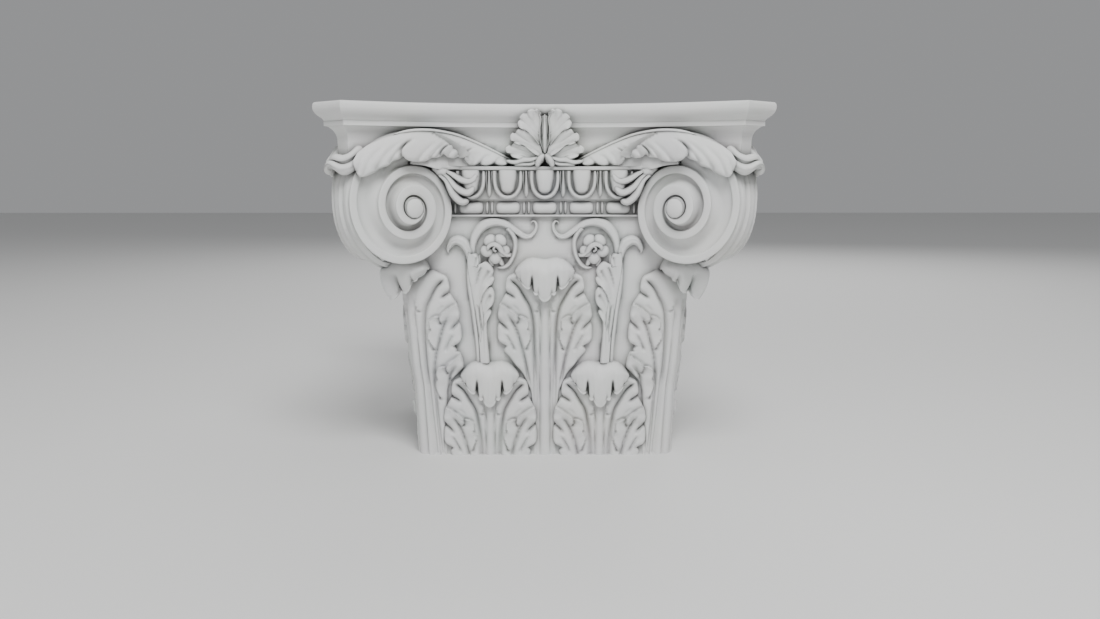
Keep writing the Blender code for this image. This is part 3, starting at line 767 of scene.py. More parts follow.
@dataclass
class Pattern:
    """Left half of the leaf that all sizes repeat, in millimetres from its rib and below its shoulder."""

    edge: Points = (
        (-10, 30), (-4, 41), (-1.5, 46), (0, 49.5), (4, 52.4), (10, 53.8), (17, 54.2), (21, 53.6), (23.5, 51.6),
        (25.5, 54.6), (30, 57), (36, 60.4), (39.5, 62.6), (46, 64.4), (53, 65.4), (59, 65.0), (62.5, 63.6),
        (64.5, 61.8), (67, 64.4), (73, 65.8), (81, 66.2), (88, 65.6), (93, 63.4), (96.5, 59.6), (99.5, 53.6),
        (102, 55.6), (105, 57.4), (108, 56.4),
    )
    vein: Points = ((48.9, 3), (42.6, 9.6), (35.3, 17.3), (28.1, 29.3), (20.0, 46), (16.4, 68))
    notch: Points = ((55.5, 22.9), (46, 28.2), (38.7, 34.4))
    crease: Points = ((46, 40.6), (39.4, 46.2), (34.2, 53))
    over: Points = ((64, 38.6), (56, 42.4), (49.6, 46.6), (43, 51), (39.1, 55.2), (37.4, 60.3), (38.6, 69))
    drop: Points = (
        (38, 58.4), (33.8, 56.9), (28.5, 58.4), (23.6, 62.5), (22, 69.6), (23.8, 76.2), (21.2, 79.6),
        (19.6, 86), (21.4, 93), (25.3, 101), (26, 107),
    )
    second: Points = ((54, 51.6), (46.7, 62.2), (40.9, 73.6))
    cleft: Points = ((66, 63.4), (56.4, 71.3), (49.1, 82.5))
    third: Points = ((56.5, 80), (48.2, 93), (40.6, 109))
    inner: Points = ((13, 26), (11.2, 34), (9.2, 40), (9.6, 45.6), (12.8, 52.5))
    tier: float = 71.5


@dataclass
class Blade:
    """Carved blade of a leaf, which follows the bell."""

    place: Placer
    shoulder: float
    rib: tuple[float, float]
    vein_foot: Points
    second_foot: Points
    third_foot: Points
    skirt: Points
    levels: Sequence[float]
    tiers: int = 2
    pattern: Pattern = field(default_factory=Pattern)
    relief: Points = ((-10.0, 9.5), (60.0, 9.0), (110.0, 6.5), (260.0, 6.0))
    inner_steps: int = 9
    outer_steps: int = 27
    vein_share: float = 0.30
    least: float = 0.4
    root: float = 3.0
    lobes: Sequence[float] = (17.0, 56.0, 91.0, 127.0)

    def height(self, across: Array, down: Array, edge: Array) -> Array:
        """Height of the carving.

        Args:
            across: Distance from the rib.
            down: Distance below the shoulder.
            edge: Half-width of the blade there.

        Returns:
            Height over the bell, all in millimetres.
        """
        shape = self.pattern
        body = np.interp(down, *np.array(self.relief).T)
        work = Relief(across, down, body.copy())
        for width, depth in ((2.2, 5.6), (6.5, 2.2)):
            work.groove((*shape.vein, *self.vein_foot), width, depth, (0.12, 0.0))
        rib = np.interp(down, [0.0, 260.0], self.rib)
        work.height -= 3.8 * np.exp(-(np.abs(across - rib * 1.75) / 1.35) ** 1.5) * ease((down - 20.0) / 25.0)
        work.height += 0.9 * np.clip(1.0 - (across / rib) ** 2, 0.0, 1.0)
        self.cleave(work, shape.notch)
        work.groove(shape.crease, 2.2, 1.5, (0.35, 0.45))
        work.lap(shape.inner, 1.2, 3.4, 5.0, (0.3, 0.1))
        work.swell((12.4, 50.5), 2.0, -3.0)
        for tier in range(self.tiers - 1):
            shift, side = shape.tier * tier, 4.0 * tier
            moved = [[(x + side, y + shift) for x, y in line] for line in (shape.over, shape.drop, shape.cleft)]
            work.lap(moved[0], 4.4, 3.0, 9.0, (0.0, 0.12))
            work.lap(moved[1], 3.4, 3.0, 6.0, (0.08, 0.1))
            self.cleave(work, moved[2])
            work.swell((38.4 + side, 66.5 + shift), 2.2, -4.4)
            work.swell((25.6 + side, 104.0 + shift), 2.4, -3.4)
            foot = self.second_foot if tier == 0 else self.third_foot
            second = [(x + side, y + shift) for x, y in shape.second]
            work.groove((*second, *foot), 1.8, 4.4, (0.2, 0.0))
            work.groove((*second, *foot), 6.0, 2.0, (0.25, 0.0))
        work.groove(shape.third, 1.8, 3.8, (0.3, 0.2))
        work.swell((58.5, 99.8), 3.2, -4.5)
        for lobe in self.lobes:
            work.height += 2.4 * np.exp(-(((down - lobe) / 5.0) ** 2)) * np.exp(-(edge - across) / 8.0)
        work.swell((50.0, 2.0), 9.0, 1.8)
        work.height -= 2.2 * np.exp(-(edge - across) / 1.1) + 1.6 * np.exp(-(edge - across) / 5.0)
        work.height -= 0.6 * work.height * np.exp(-(down - self.levels[0]) / 3.0)
        return np.maximum(work.height, self.least)

    def cleave(self, work: Relief, line: Points) -> None:
        """Cuts the deep cleft between two lobes, with soft banks."""
        work.groove(line, 1.8, 5.4, (0.0, 0.5))
        work.groove(line, 5.5, 1.6, (0.0, 0.4))

    def build(self) -> Mesh:
        """Makes the blade."""
        inner, outer = self.inner_steps, self.outer_steps
        stops = np.concatenate([
            np.linspace(0.0, self.vein_share, inner + 1), np.linspace(self.vein_share, 1.0, outer + 1)[1:],
            [1.0]
        ])
        shares = np.concatenate([-stops[:0:-1], stops])
        edge_line = np.array((*self.pattern.edge, *self.skirt), dtype=float)
        vein_line = curve((*self.pattern.vein, *self.vein_foot))
        levels = np.concatenate([[self.levels[0]], self.levels, [self.levels[-1]]])
        last_column = len(shares) - 1

        def lay(u: Array, v: Array) -> Array:
            """Places for shares along and across."""
            share = spaced(u, shares)
            down = spaced(v, levels)
            edge = np.interp(down, edge_line[:, 0], edge_line[:, 1])
            vein = np.interp(down, vein_line[:, 1], vein_line[:, 0])
            vein = np.minimum(vein, edge * 0.93)
            size = np.abs(share)
            split = self.vein_share
            across = np.where(
                size < split, vein * size / split, vein + (edge - vein) * (size - split) / (1.0 - split)
            )
            lift = self.height(across, down, edge)
            column = np.rint(u * last_column)
            row = np.rint(v * (len(levels) - 1))
            hem = (column == 0) | (column == last_column) | (row == 0) | (row == len(levels) - 1)
            lift = np.where(hem, -self.root, lift)
            return self.place(np.copysign(across, share) * MM, self.shoulder - down * MM, lift * MM)

        return sheet(last_column, len(levels) - 1, lay)


@dataclass
class Head:
    """Curled head of a leaf: five lobes that hang from a rolled crown."""

    place: Placer
    top: float
    half: float
    drop: float
    relief: float
    tuck: float = 0.14
    peak: float = 0.0
    slits: Points = ((17.3, 2.4),)
    notches: Points = ((9.1, 1.0), (33.6, 0.9))
    columns: int = 44
    roll_rows: int = 13
    front_rows: int = 15
    under_rows: int = 8
    drawn_half: float = 41.0
    drawn_drop: float = 65.0
    crown: Points = ((0, 2.2), (5, 1.8), (10, 0.8), (17, 0), (25, 2.2), (32, 7), (37, 12.5), (40, 18),
                     (41, 21.5))
    lip: Points = (
        (0, 65), (2.6, 64.5), (5, 62.8), (7, 60), (8.4, 56.8), (9.1, 54.0), (10, 54.8), (12, 55.6),
        (14.2, 54.4), (16, 50.6), (16.9, 45), (17.1, 35), (17.7, 34.5), (18.4, 41.6), (20.2, 45.4), (23, 46.8),
        (26.4, 45.2), (30, 41), (32.8, 36.2), (33.6, 33.6), (34.4, 33.8), (36.4, 32.4), (39, 28.6),
        (40.6, 24.6), (41, 22.5),
    )

    def build(self) -> Mesh:
        """Makes the head."""
        crown_line, lip_line = np.array(self.crown), np.array(self.lip)
        knots = np.unique(np.concatenate([lip_line[:, 0], np.linspace(0.0, self.drawn_half, self.columns)]))
        stops = np.concatenate([-knots[:0:-1], knots])
        roll, front, under = self.roll_rows, self.front_rows, self.under_rows
        rows = roll + front + under

        def lay(u: Array, v: Array) -> Array:
            """Places for shares along and across."""
            across = spaced(u, stops)
            size = np.abs(across)
            crown = np.interp(size, crown_line[:, 0], crown_line[:, 1])
            lip = np.interp(size, lip_line[:, 0], lip_line[:, 1])
            low = np.interp(size, [0, 10, 17.3, 24, 33, 41], [60, 54, 49, 46, 36, 24])
            belly = crown + 0.42 * (low - crown)
            side = np.clip(1.0 - 0.62 * (size / self.drawn_half) ** 3.2, 0.0, 1.0)
            reach = self.relief / MM * side + self.peak / MM * np.exp(-((size / 6.0) ** 2))
            step = v * rows
            turn = np.clip(step / roll, 0.0, 1.0) * math.pi / 2.0
            down = crown + (belly - crown) * (1.0 - np.cos(turn))
            lift = -1.5 + (reach + 1.5) * np.sin(turn)
            hang = np.clip((step - roll) / front, 0.0, 1.0)
            down = np.where(step > roll, belly + (lip - belly) * hang, down)
            lift = np.where(step > roll, reach * (1.0 - self.tuck * hang**2), lift)
            for spot, depth in self.slits:
                cut = 2.0 * depth * np.exp(-((np.abs(size - spot) / 1.5) ** 1.6))
                lift = lift - cut * ease((down - 24.0) / 9.0)
                lift = lift - 0.5 * depth * np.exp(-(((size - spot) / 5.0) ** 2)) * ease((down - 6.0) / 22.0)
            for spot, depth in self.notches:
                near_lip = ease(1.0 - (lip - down) / 12.0)
                lift = lift - 1.6 * depth * np.exp(-((np.abs(size - spot) / 1.6) ** 1.6)) * near_lip
            saddle = np.exp(-((size / 6.0) ** 2)) * (1.0 - ease((down - 6.0) / 26.0))
            flute = 0.16 * np.cos(size * 0.78) * ease((down - 6.0) / 10.0)
            lift = lift - 1.8 * saddle + flute * (size < 40.0)
            lift = lift - 2.6 * np.exp(-np.maximum(lip - down, 0.0) / 1.8) * (step > roll)
            back = np.clip((step - roll - front) / under, 0.0, 1.0)
            edge = reach * (1.0 - self.tuck)
            inner_down = lip + 0.7 - (lip - belly) * np.interp(back, [0.0, 0.12, 0.3, 1.0],
                                                               [0.0, 0.02, 0.12, 0.95])
            inner_lift = edge * np.interp(back, [0.0, 0.12, 0.3, 0.8, 1.0], [1.0, 0.92, 0.80, 0.42, -0.15])
            past = step > roll + front
            down, lift = np.where(past, inner_down, down), np.where(past, inner_lift, lift)
            scale = self.drop / (self.drawn_drop * MM)
            spread = self.half / (self.drawn_half * MM)
            return self.place(across * spread * MM, self.top - down * scale * MM, lift * MM)

        return sheet(len(stops) - 1, rows, lay)


def steps_down(parts: Sequence[tuple[float, float, float]]) -> list[float]:
    """Levels of a blade's rows: each part has a start, an end and about the gap between its rows."""
    levels: list[float] = []
    for start, end, gap in parts:
        count = max(int(round((end - start) / gap)), 1)
        levels.extend(np.linspace(start, end, count, endpoint=False))
    levels.append(parts[-1][1])
    return levels


@dataclass
class Leaves:
    """The three rings of leaves around the bell."""

    lower_axis: float = 0.0775
    lower_shoulder: float = 0.1104
    lower_top: float = 0.1385
    upper_shoulder: float = 0.2591
    upper_top: float = 0.2845
    corner_top: float = 0.290

    def lower_place(self, across: Array, z: Array, lift: Array) -> Array:
        """Puts points on the bell, measured from the left lower leaf's rib."""
        return BELL.place(across - self.lower_axis, z, lift)

    def lower(self) -> list[Mesh]:
        """Left lower leaf of the front face."""
        foot = self.lower_shoulder / MM
        blade = Blade(
            place=self.lower_place, shoulder=self.lower_shoulder, rib=(3.3, 4.4),
            vein_foot=((14.0, 90), (12.9, foot)), second_foot=((34.8, 92), (30.2, foot)), third_foot=(),
            skirt=((foot + 1.0, 56.0),), levels=steps_down([(-8.0, foot, 1.2)]),
            relief=((-10.0, 9.0), (50.0, 8.6), (110.0, 6.2)),
        )
        head = Head(place=self.lower_place, top=self.lower_top, half=0.0412, drop=0.0645, relief=0.0195)
        return [blade.build(), head.build()]

    def upper(self) -> list[Mesh]:
        """Leaf in the middle of the front face."""
        foot = self.upper_shoulder / MM
        blade = Blade(
            place=BELL.place, shoulder=self.upper_shoulder, rib=(3.1, 4.9),
            vein_foot=((15.6, 90), (13.8, 135), (11.4, foot)),
            second_foot=((33.6, 96), (26.9, 125), (22.5, 155)),
            third_foot=(), skirt=((115, 50), (127, 41), (140, 31), (165, 20), (200, 16), (foot + 1.0, 15)),
            levels=steps_down([(-8.0, 118.0, 1.2), (118.0, 150.0, 2.0), (150.0, foot, 6.0)]),
            relief=((-10.0, 10.0), (60.0, 9.0), (110.0, 8.0), (160.0, 5.5), (260.0, 5.0)),
        )
        head = Head(place=BELL.place, top=self.upper_top, half=0.0412, drop=0.0595, relief=0.0245)
        return [blade.build(), head.build()]

    def corner(self) -> list[Mesh]:
        """Leaf around the front left corner."""
        foot = self.upper_shoulder / MM
        edge = Pattern().edge
        skirt = [(down + 71.5, half) for down, half in edge if 34.0 < down < 62.0]
        blade = Blade(
            place=BELL.place_corner, shoulder=self.upper_shoulder, rib=(3.1, 4.6),
            vein_foot=((14.8, 100), (14.8, 150), (16.2, 200), (19.0, foot)),
            second_foot=((33.4, 96), (27.0, 118), (23.6, 150), (23.8, 200), (26.0, foot)),
            third_foot=((44.0, 175), (36.5, 210), (30.5, foot)),
            skirt=(*skirt, (140, 56), (150, 46), (165, 40), (200, 37), (foot + 1.0, 34)),
            levels=steps_down([(-8.0, 180.0, 1.3), (180.0, foot, 2.6)]), tiers=3,
            relief=((-10.0, 6.0), (6.0, 10.0), (60.0, 10.5), (128.0, 9.5), (158.0, 6.6), (255.0, 6.4)),
        )
        head = Head(
            place=BELL.place_corner, top=self.corner_top, half=0.0295, drop=0.0650, relief=0.0385, tuck=0.24,
            peak=0.0150, slits=((7.1, 2.0),), notches=((19.6, 1.0),),
            lip=((0, 62.5), (2.4, 61.8), (4.4, 58.6), (6, 53), (6.8, 46), (7.4, 46), (8.2, 50), (10, 53),
                 (12.6, 53.4), (15.4, 50), (17.6, 44), (19, 37.6), (19.8, 35.4), (22, 36.8), (24.4, 35.4),
                 (26, 31.4), (30, 29), (36, 24), (41, 20.5)),
        )
        return [blade.build(), head.build()]

    def build(self, bench: Bench) -> None:
        """Makes the leaves of all four faces."""
        bench.add("lower_leaves_left", self.lower(), Repeat.FACES)
        mirrored = self.lower()
        for shell in mirrored:
            mirror(shell, shell.verts[:], shell.faces[:])
        bench.add("lower_leaves_right", mirrored, Repeat.FACES)
        bench.add("upper_leaves", self.upper(), Repeat.FACES)
        blade, head = self.corner()
        bench.add("corner_leaves", [blade], Repeat.FACES)
        bench.add("corner_heads", [head], Repeat.FACES)


# Scrolls


@dataclass
class Scroll:
    """Pair of scrolls on a corner, with the ribbed band between them."""

    x: float = 0.1803
    y: float = 0.2388
    z: float = 0.3538
    radius: float = 0.0997
    shrink: float = 1.158
    squash: float = 0.943
    turn: float = math.radians(29.6)
    quarters: float = 11.4
    steps: int = 14
    rim: float = 0.0108
    eye_proud: float = 0.024
    eye_radius: float = 0.0136
    crown: float = 0.016
    tip: float = 2.50
    depth: float = 0.022
    back_share: float = 0.86
    strap_start: float = -0.55
    strap_steps: int = 64
    strap_rows: int = 30
    strap_back: int = 4

    def spot(self, radius: Array, quarters: Array, proud: Array) -> Array:
        """Place on the front scroll: quarter turns run from the crown out, down and in."""
        angle = math.pi / 2.0 * (quarters + 1.0)
        across = radius * np.cos(angle) * self.squash
        x = -self.x + math.cos(self.turn) * across + math.sin(self.turn) * proud
        y = -self.y + math.sin(self.turn) * across - math.cos(self.turn) * proud
        return np.column_stack([x, y, self.z + radius * np.sin(angle)])

    def outer(self, quarters: Array) -> Array:
        """Radius of the rim's outer edge, which runs out on the eye."""
        wound = self.radius * self.shrink**-quarters
        return wound + (self.eye_radius - wound) * ease((quarters - 9.4) / 1.7)

    def proud(self, quarters: Array) -> Array:
        """Height of the rim over the scroll's plane: it rises to the eye, and to the crown."""
        held = np.clip(quarters, 0.0, 12.0)
        rise = self.eye_proud * 0.86 * ease(held / 12.0) + self.eye_proud * 0.12 * held / 12.0
        return rise + self.crown * np.maximum(1.0 - quarters, 0.0) ** 1.5

    def face(self) -> Mesh:
        """Front face of one scroll: a rim and a channel that wind in to the eye."""
        sections = np.array([
            (0.0, 0.00, -1.1), (0.0, 0.03, -0.35), (0.0, 0.08, -0.05), (0.0, 0.30, 0.0), (0.0, 0.70, 0.0),
            (0.0, 0.92, -0.05), (0.0, 0.97, -0.35), (0.0, 1.00, -1.1), (0.012, 1.0, -3.6), (0.04, 1.0, -4.6),
            (0.12, 1.0, -5.4), (0.24, 1.0, -6.3), (0.38, 1.0, -7.6), (0.52, 1.0, -9.0), (0.66, 1.0, -10.2),
            (0.79, 1.0, -10.9), (0.89, 1.0, -10.6), (0.96, 1.0, -9.0), (0.992, 1.0, -5.4), (1.0, 1.0, -1.1),
        ])
        inner = np.array([*sections[:8, 2], -7.0, -9.6, -10.6, -10.4, -9.6, -8.6, -7.4, -6.2, -5.2, -4.2, -3.0,
                          -1.1])
        total = int(self.quarters * self.steps)

        def lay(u: Array, v: Array) -> Array:
            """Places for shares along and across."""
            quarters = u * self.quarters
            start, end = self.outer(quarters), self.outer(quarters + 4.0)
            wide = self.rim + 0.0046 * np.exp(-(((quarters - 7.4) / 1.0) ** 2))
            rim = np.minimum(wide, np.maximum(start - self.eye_radius - 0.0016 * ease((9.9 - quarters) / 0.8),
                                              0.001))
            part = spaced(v, sections[:, 0])
            rim_part = spaced(v, sections[:, 1])
            wound = ease((quarters - 2.6) / 2.2)
            deep = spaced(v, sections[:, 2]) * (1.0 - wound) + spaced(v, inner) * wound
            inside = start - rim
            radius = np.where(part > 0.0, inside + (end - inside) * part, start - rim * rim_part)
            here, there = self.proud(quarters), self.proud(quarters + 4.0)
            level = here + (there - here) * ease((part - 0.55) / 0.45)
            small = np.clip((inside - end) / 0.022, 0.0, 1.0) ** 0.7
            grown = 0.50 + 0.50 * ease((quarters - 1.9) / 1.6)
            small = np.maximum(small, 0.3 * ease((9.9 - quarters) / 0.8))
            scale = np.where(deep < -2.0, -1.2 + (deep + 1.2) * small, deep)
            scale = np.where(scale < -4.2, -4.2 + (scale + 4.2) * grown, scale)
            return self.spot(radius, quarters, level + scale * MM)

        return open_sheet(total, len(sections) - 1, lay)

    def eye(self) -> Mesh:
        """Domed eye."""
        centre = self.spot(np.array([0.0]), np.array([0.0]), np.array([self.eye_proud - 0.0042]))[0]
        turn = Matrix.Rotation(self.turn, 4, "Z") @ Matrix.Diagonal((0.97, 0.42, 1.03, 1.0))
        return ball(36, 18, self.eye_radius, Matrix.Translation(Vector(centre)) @ turn)

    def strap(self) -> Mesh:
        """Band around the corner between the two scrolls, with wavy ribs along it."""
        low, high = self.strap_start, self.tip
        rows, behind = self.strap_rows, self.strap_back

        def lay(u: Array, v: Array) -> Array:
            """Places for shares along and across."""
            quarters = low + (high - low) * u
            step = np.rint(v * (rows + behind))
            front = self.spot(self.outer(quarters), quarters, self.proud(quarters) - 1.6 * MM)
            other = front[:, [1, 0, 2]]
            angle = math.pi / 2.0 * (quarters + 1.0)
            flat = np.cos(angle) * (math.cos(self.turn) + math.sin(self.turn)) / math.sqrt(2.0)
            out = np.column_stack([flat / math.sqrt(2.0), flat / math.sqrt(2.0), np.sin(angle)])
            back = (step > rows) & (step < rows + behind)
            across = np.where(step > rows, np.interp(step - rows, [0, 1, 3, 4], [1.0, 0.9, -0.9, -1.0]),
                              2.0 * step / rows - 1.0)
            wave = 0.07 * np.sin(quarters * 7.0) + 0.03 * np.sin(quarters * 15.0 + 1.0)
            ribs = 2.6 * np.exp(-(((np.abs(across) - 0.52 - 0.4 * wave) / 0.17) ** 2))
            middle = 3.6 * np.exp(-((across / (0.20 + 0.15 * wave)) ** 2)) + 0.7 * np.cos(across * 18.0)
            hem = np.clip((1.0 - np.abs(across)) / 0.14, 0.0, 1.0)
            lift = (ribs + middle - 1.3) * ease(hem) - 1.0 * (1.0 - (2.0 * hem - 1.0) ** 2) * (hem < 1.0)
            swell = np.clip(0.4 + quarters * 0.8, 0.3, 1.0)
            narrow = 1.0 - 0.94 * ease((quarters - 1.35) / 0.75)
            lift = np.where(back, -7.0 * (0.3 + 0.7 * narrow) / np.maximum(swell, 0.1), lift)
            spot = front + (other - front) * ((across * narrow + 1.0) / 2.0)[:, None]
            droop = 13.0 * ease((quarters - 1.45) / 0.95) * ease(hem * 1.2)
            return spot + out * ((lift * swell + droop) * MM)[:, None]

        return open_sheet(self.strap_steps, rows + behind, lay)

    def build(self, bench: Bench) -> None:
        """Makes the scrolls of all four corners."""
        front = bench.merge([self.face()])
        bmesh.ops.remove_doubles(front, verts=front.verts, dist=WELD)
        rim = [edge for edge in front.edges if edge.is_boundary]
        wall = bmesh.ops.extrude_edge_only(front, edges=rim)["geom"]
        back = Vector((-math.sin(self.turn), math.cos(self.turn), 0.0)) * self.depth
        moved = [item for item in wall if isinstance(item, bmesh.types.BMVert)]
        bmesh.ops.translate(front, vec=back, verts=moved)
        middle = Vector((-self.x, -self.y, self.z)) + back
        bmesh.ops.scale(front, vec=(self.back_share,) * 3, space=Matrix.Translation(-middle), verts=moved)
        pair = bench.merge([close(front), self.eye()])
        verts, faces = twin(pair, everything(pair))
        across = Matrix(((0, 1, 0, 0), (1, 0, 0, 0), (0, 0, 1, 0), (0, 0, 0, 1)))
        bmesh.ops.transform(pair, matrix=across, verts=verts)
        bmesh.ops.reverse_faces(pair, faces=faces)
        bench.add("scrolls", [pair], Repeat.FACES, 55.0)
        bench.add("scroll_straps", [close(self.strap(), WELD)], Repeat.FACES)


SCROLL = Scroll()


# Band ornament


@dataclass
class EggRow:
    """Eggs in their shells with darts between them, over a row of beads."""

    pitch: float = 50.0
    low: float = 363.2
    high: float = 403.4
    bead: float = 352.0
    bead_size: tuple[float, float, float] = (17.0, 9.4, 9.3)
    disc_size: tuple[float, float, float] = (2.5, 8.4, 9.6)
    disc_step: float = 3.2

    def wall(self, x: Array, z: Array, lift: Array) -> Array:
        """Puts points on the leaning face behind the eggs."""
        share = (z - self.low * MM) / ((self.high - self.low) * MM)
        return np.column_stack([x, -BAND_REACH - BAND_LEAN * share - lift, z])

    def egg(self, x: float) -> list[Mesh]:
        """One egg with the shell around it."""
        low, high = self.low, self.high
        route = [
            (x - 17.6, high), (x - 17.6, high - 14), (x - 15.6, high - 25), (x - 9.5, low + 6.6),
            (x, low + 3.4), (x + 9.5, low + 6.6), (x + 15.6, high - 25), (x + 17.6, high - 14),
            (x + 17.6, high),
        ]
        shell = Ribbon(route, [3.0, 3.0, 2.9, 2.8, 2.8, 2.8, 2.9, 3.0, 3.0], [6.2] * 5, length_steps=44,
                       cross_steps=6)
        egg = Ribbon(
            [(x, high + 1), (x, high - 10), (x, high - 20), (x, high - 28), (x, low + 8.6)],
            [12.0, 12.2, 12.0, 10.6, 9.2, 7.0], [8.5, 9.4, 9.8, 9.6, 8.8, 7.0], length_steps=20, cross_steps=14,
            square=2.8,
        )
        floor = Ribbon([(x, high), (x, low + 4.5)], [16.6, 16.6, 16.0, 13.0, 7.0], [2.2] * 3, length_steps=10,
                       cross_steps=4)
        return [shell.build(self.wall), egg.build(self.wall), floor.build(self.wall)]

    def dart(self, x: float) -> list[Mesh]:
        """One dart with its pointed tip, and the two ribs beside it."""
        low, high = self.low, self.high
        spike = Ribbon(
            [(x, high), (x, high - 15), (x, low + 9), (x, low + 3.2)], [1.7, 1.7, 2.1, 2.9, 3.2, 1.6],
            [5.6, 5.6, 6.0, 6.4, 5.0], length_steps=20, cross_steps=6, square=1.3,
        )
        sides = [
            Ribbon([(x + side * 3.7, high), (x + side * 3.8, high - 16), (x + side * 3.0, low + 10)],
                   [1.0, 1.0, 0.8, 0.5], [4.0, 4.0, 3.0], length_steps=12, cross_steps=4)
            for side in (-1.0, 1.0)
        ]
        return [spike.build(self.wall), *(side.build(self.wall) for side in sides)]

    def bead_pair(self, x: float) -> list[Mesh]:
        """One long bead."""
        long, deep, tall = self.bead_size
        shell = bmesh.new()
        bmesh.ops.create_uvsphere(shell, u_segments=20, v_segments=18, radius=1.0)
        bmesh.ops.rotate(shell, cent=(0, 0, 0), matrix=Matrix.Rotation(math.pi / 2.0, 3, "Y"),
                         verts=shell.verts)
        for vert in shell.verts:
            size = vert.co.x
            round_off = (1.0 - abs(size) ** 5.0) ** 0.42
            ring = math.hypot(vert.co.y, vert.co.z)
            grow = round_off / ring if ring > 1e-6 else 0.0
            vert.co = Vector((
                math.copysign(abs(size) ** 0.9, size) * long * MM + x * MM,
                -BAND_REACH + 2.0 * BAND_LEAN + vert.co.y * grow * deep * MM,
                self.bead * MM + vert.co.z * grow * tall * MM,
            ))
        bmesh.ops.recalc_face_normals(shell, faces=shell.faces)
        return [shell]

    def discs(self, x: float) -> list[Mesh]:
        """Two thin pointed discs between two beads."""
        made = []
        size = Matrix.Diagonal((*(length * MM for length in self.disc_size), 1.0))
        for place in (x - self.disc_step, x + self.disc_step):
            spot = Matrix.Translation((place * MM, -BAND_REACH + 2.0 * BAND_LEAN, self.bead * MM))
            made.append(ball(16, 10, 1.0, spot @ size))
        return made

    def build(self, bench: Bench) -> None:
        """Makes the ornament of all four sides."""
        eggs: list[Mesh] = []
        beads: list[Mesh] = []
        for index in range(-2, 3):
            eggs += self.egg(index * self.pitch)
            beads += self.bead_pair(index * self.pitch)
        for index in (-1.5, -0.5, 0.5, 1.5):
            eggs += self.dart(index * self.pitch)
        for index in (-2.5, -1.5, -0.5, 0.5, 1.5, 2.5):
            beads += self.discs(index * self.pitch)
        bench.add("egg_row", eggs, Repeat.FACES, CRISP)
        bench.add("bead_row", beads, Repeat.FACES, CRISP)


# Leaf sprays over the scrolls, and the palmettes below them


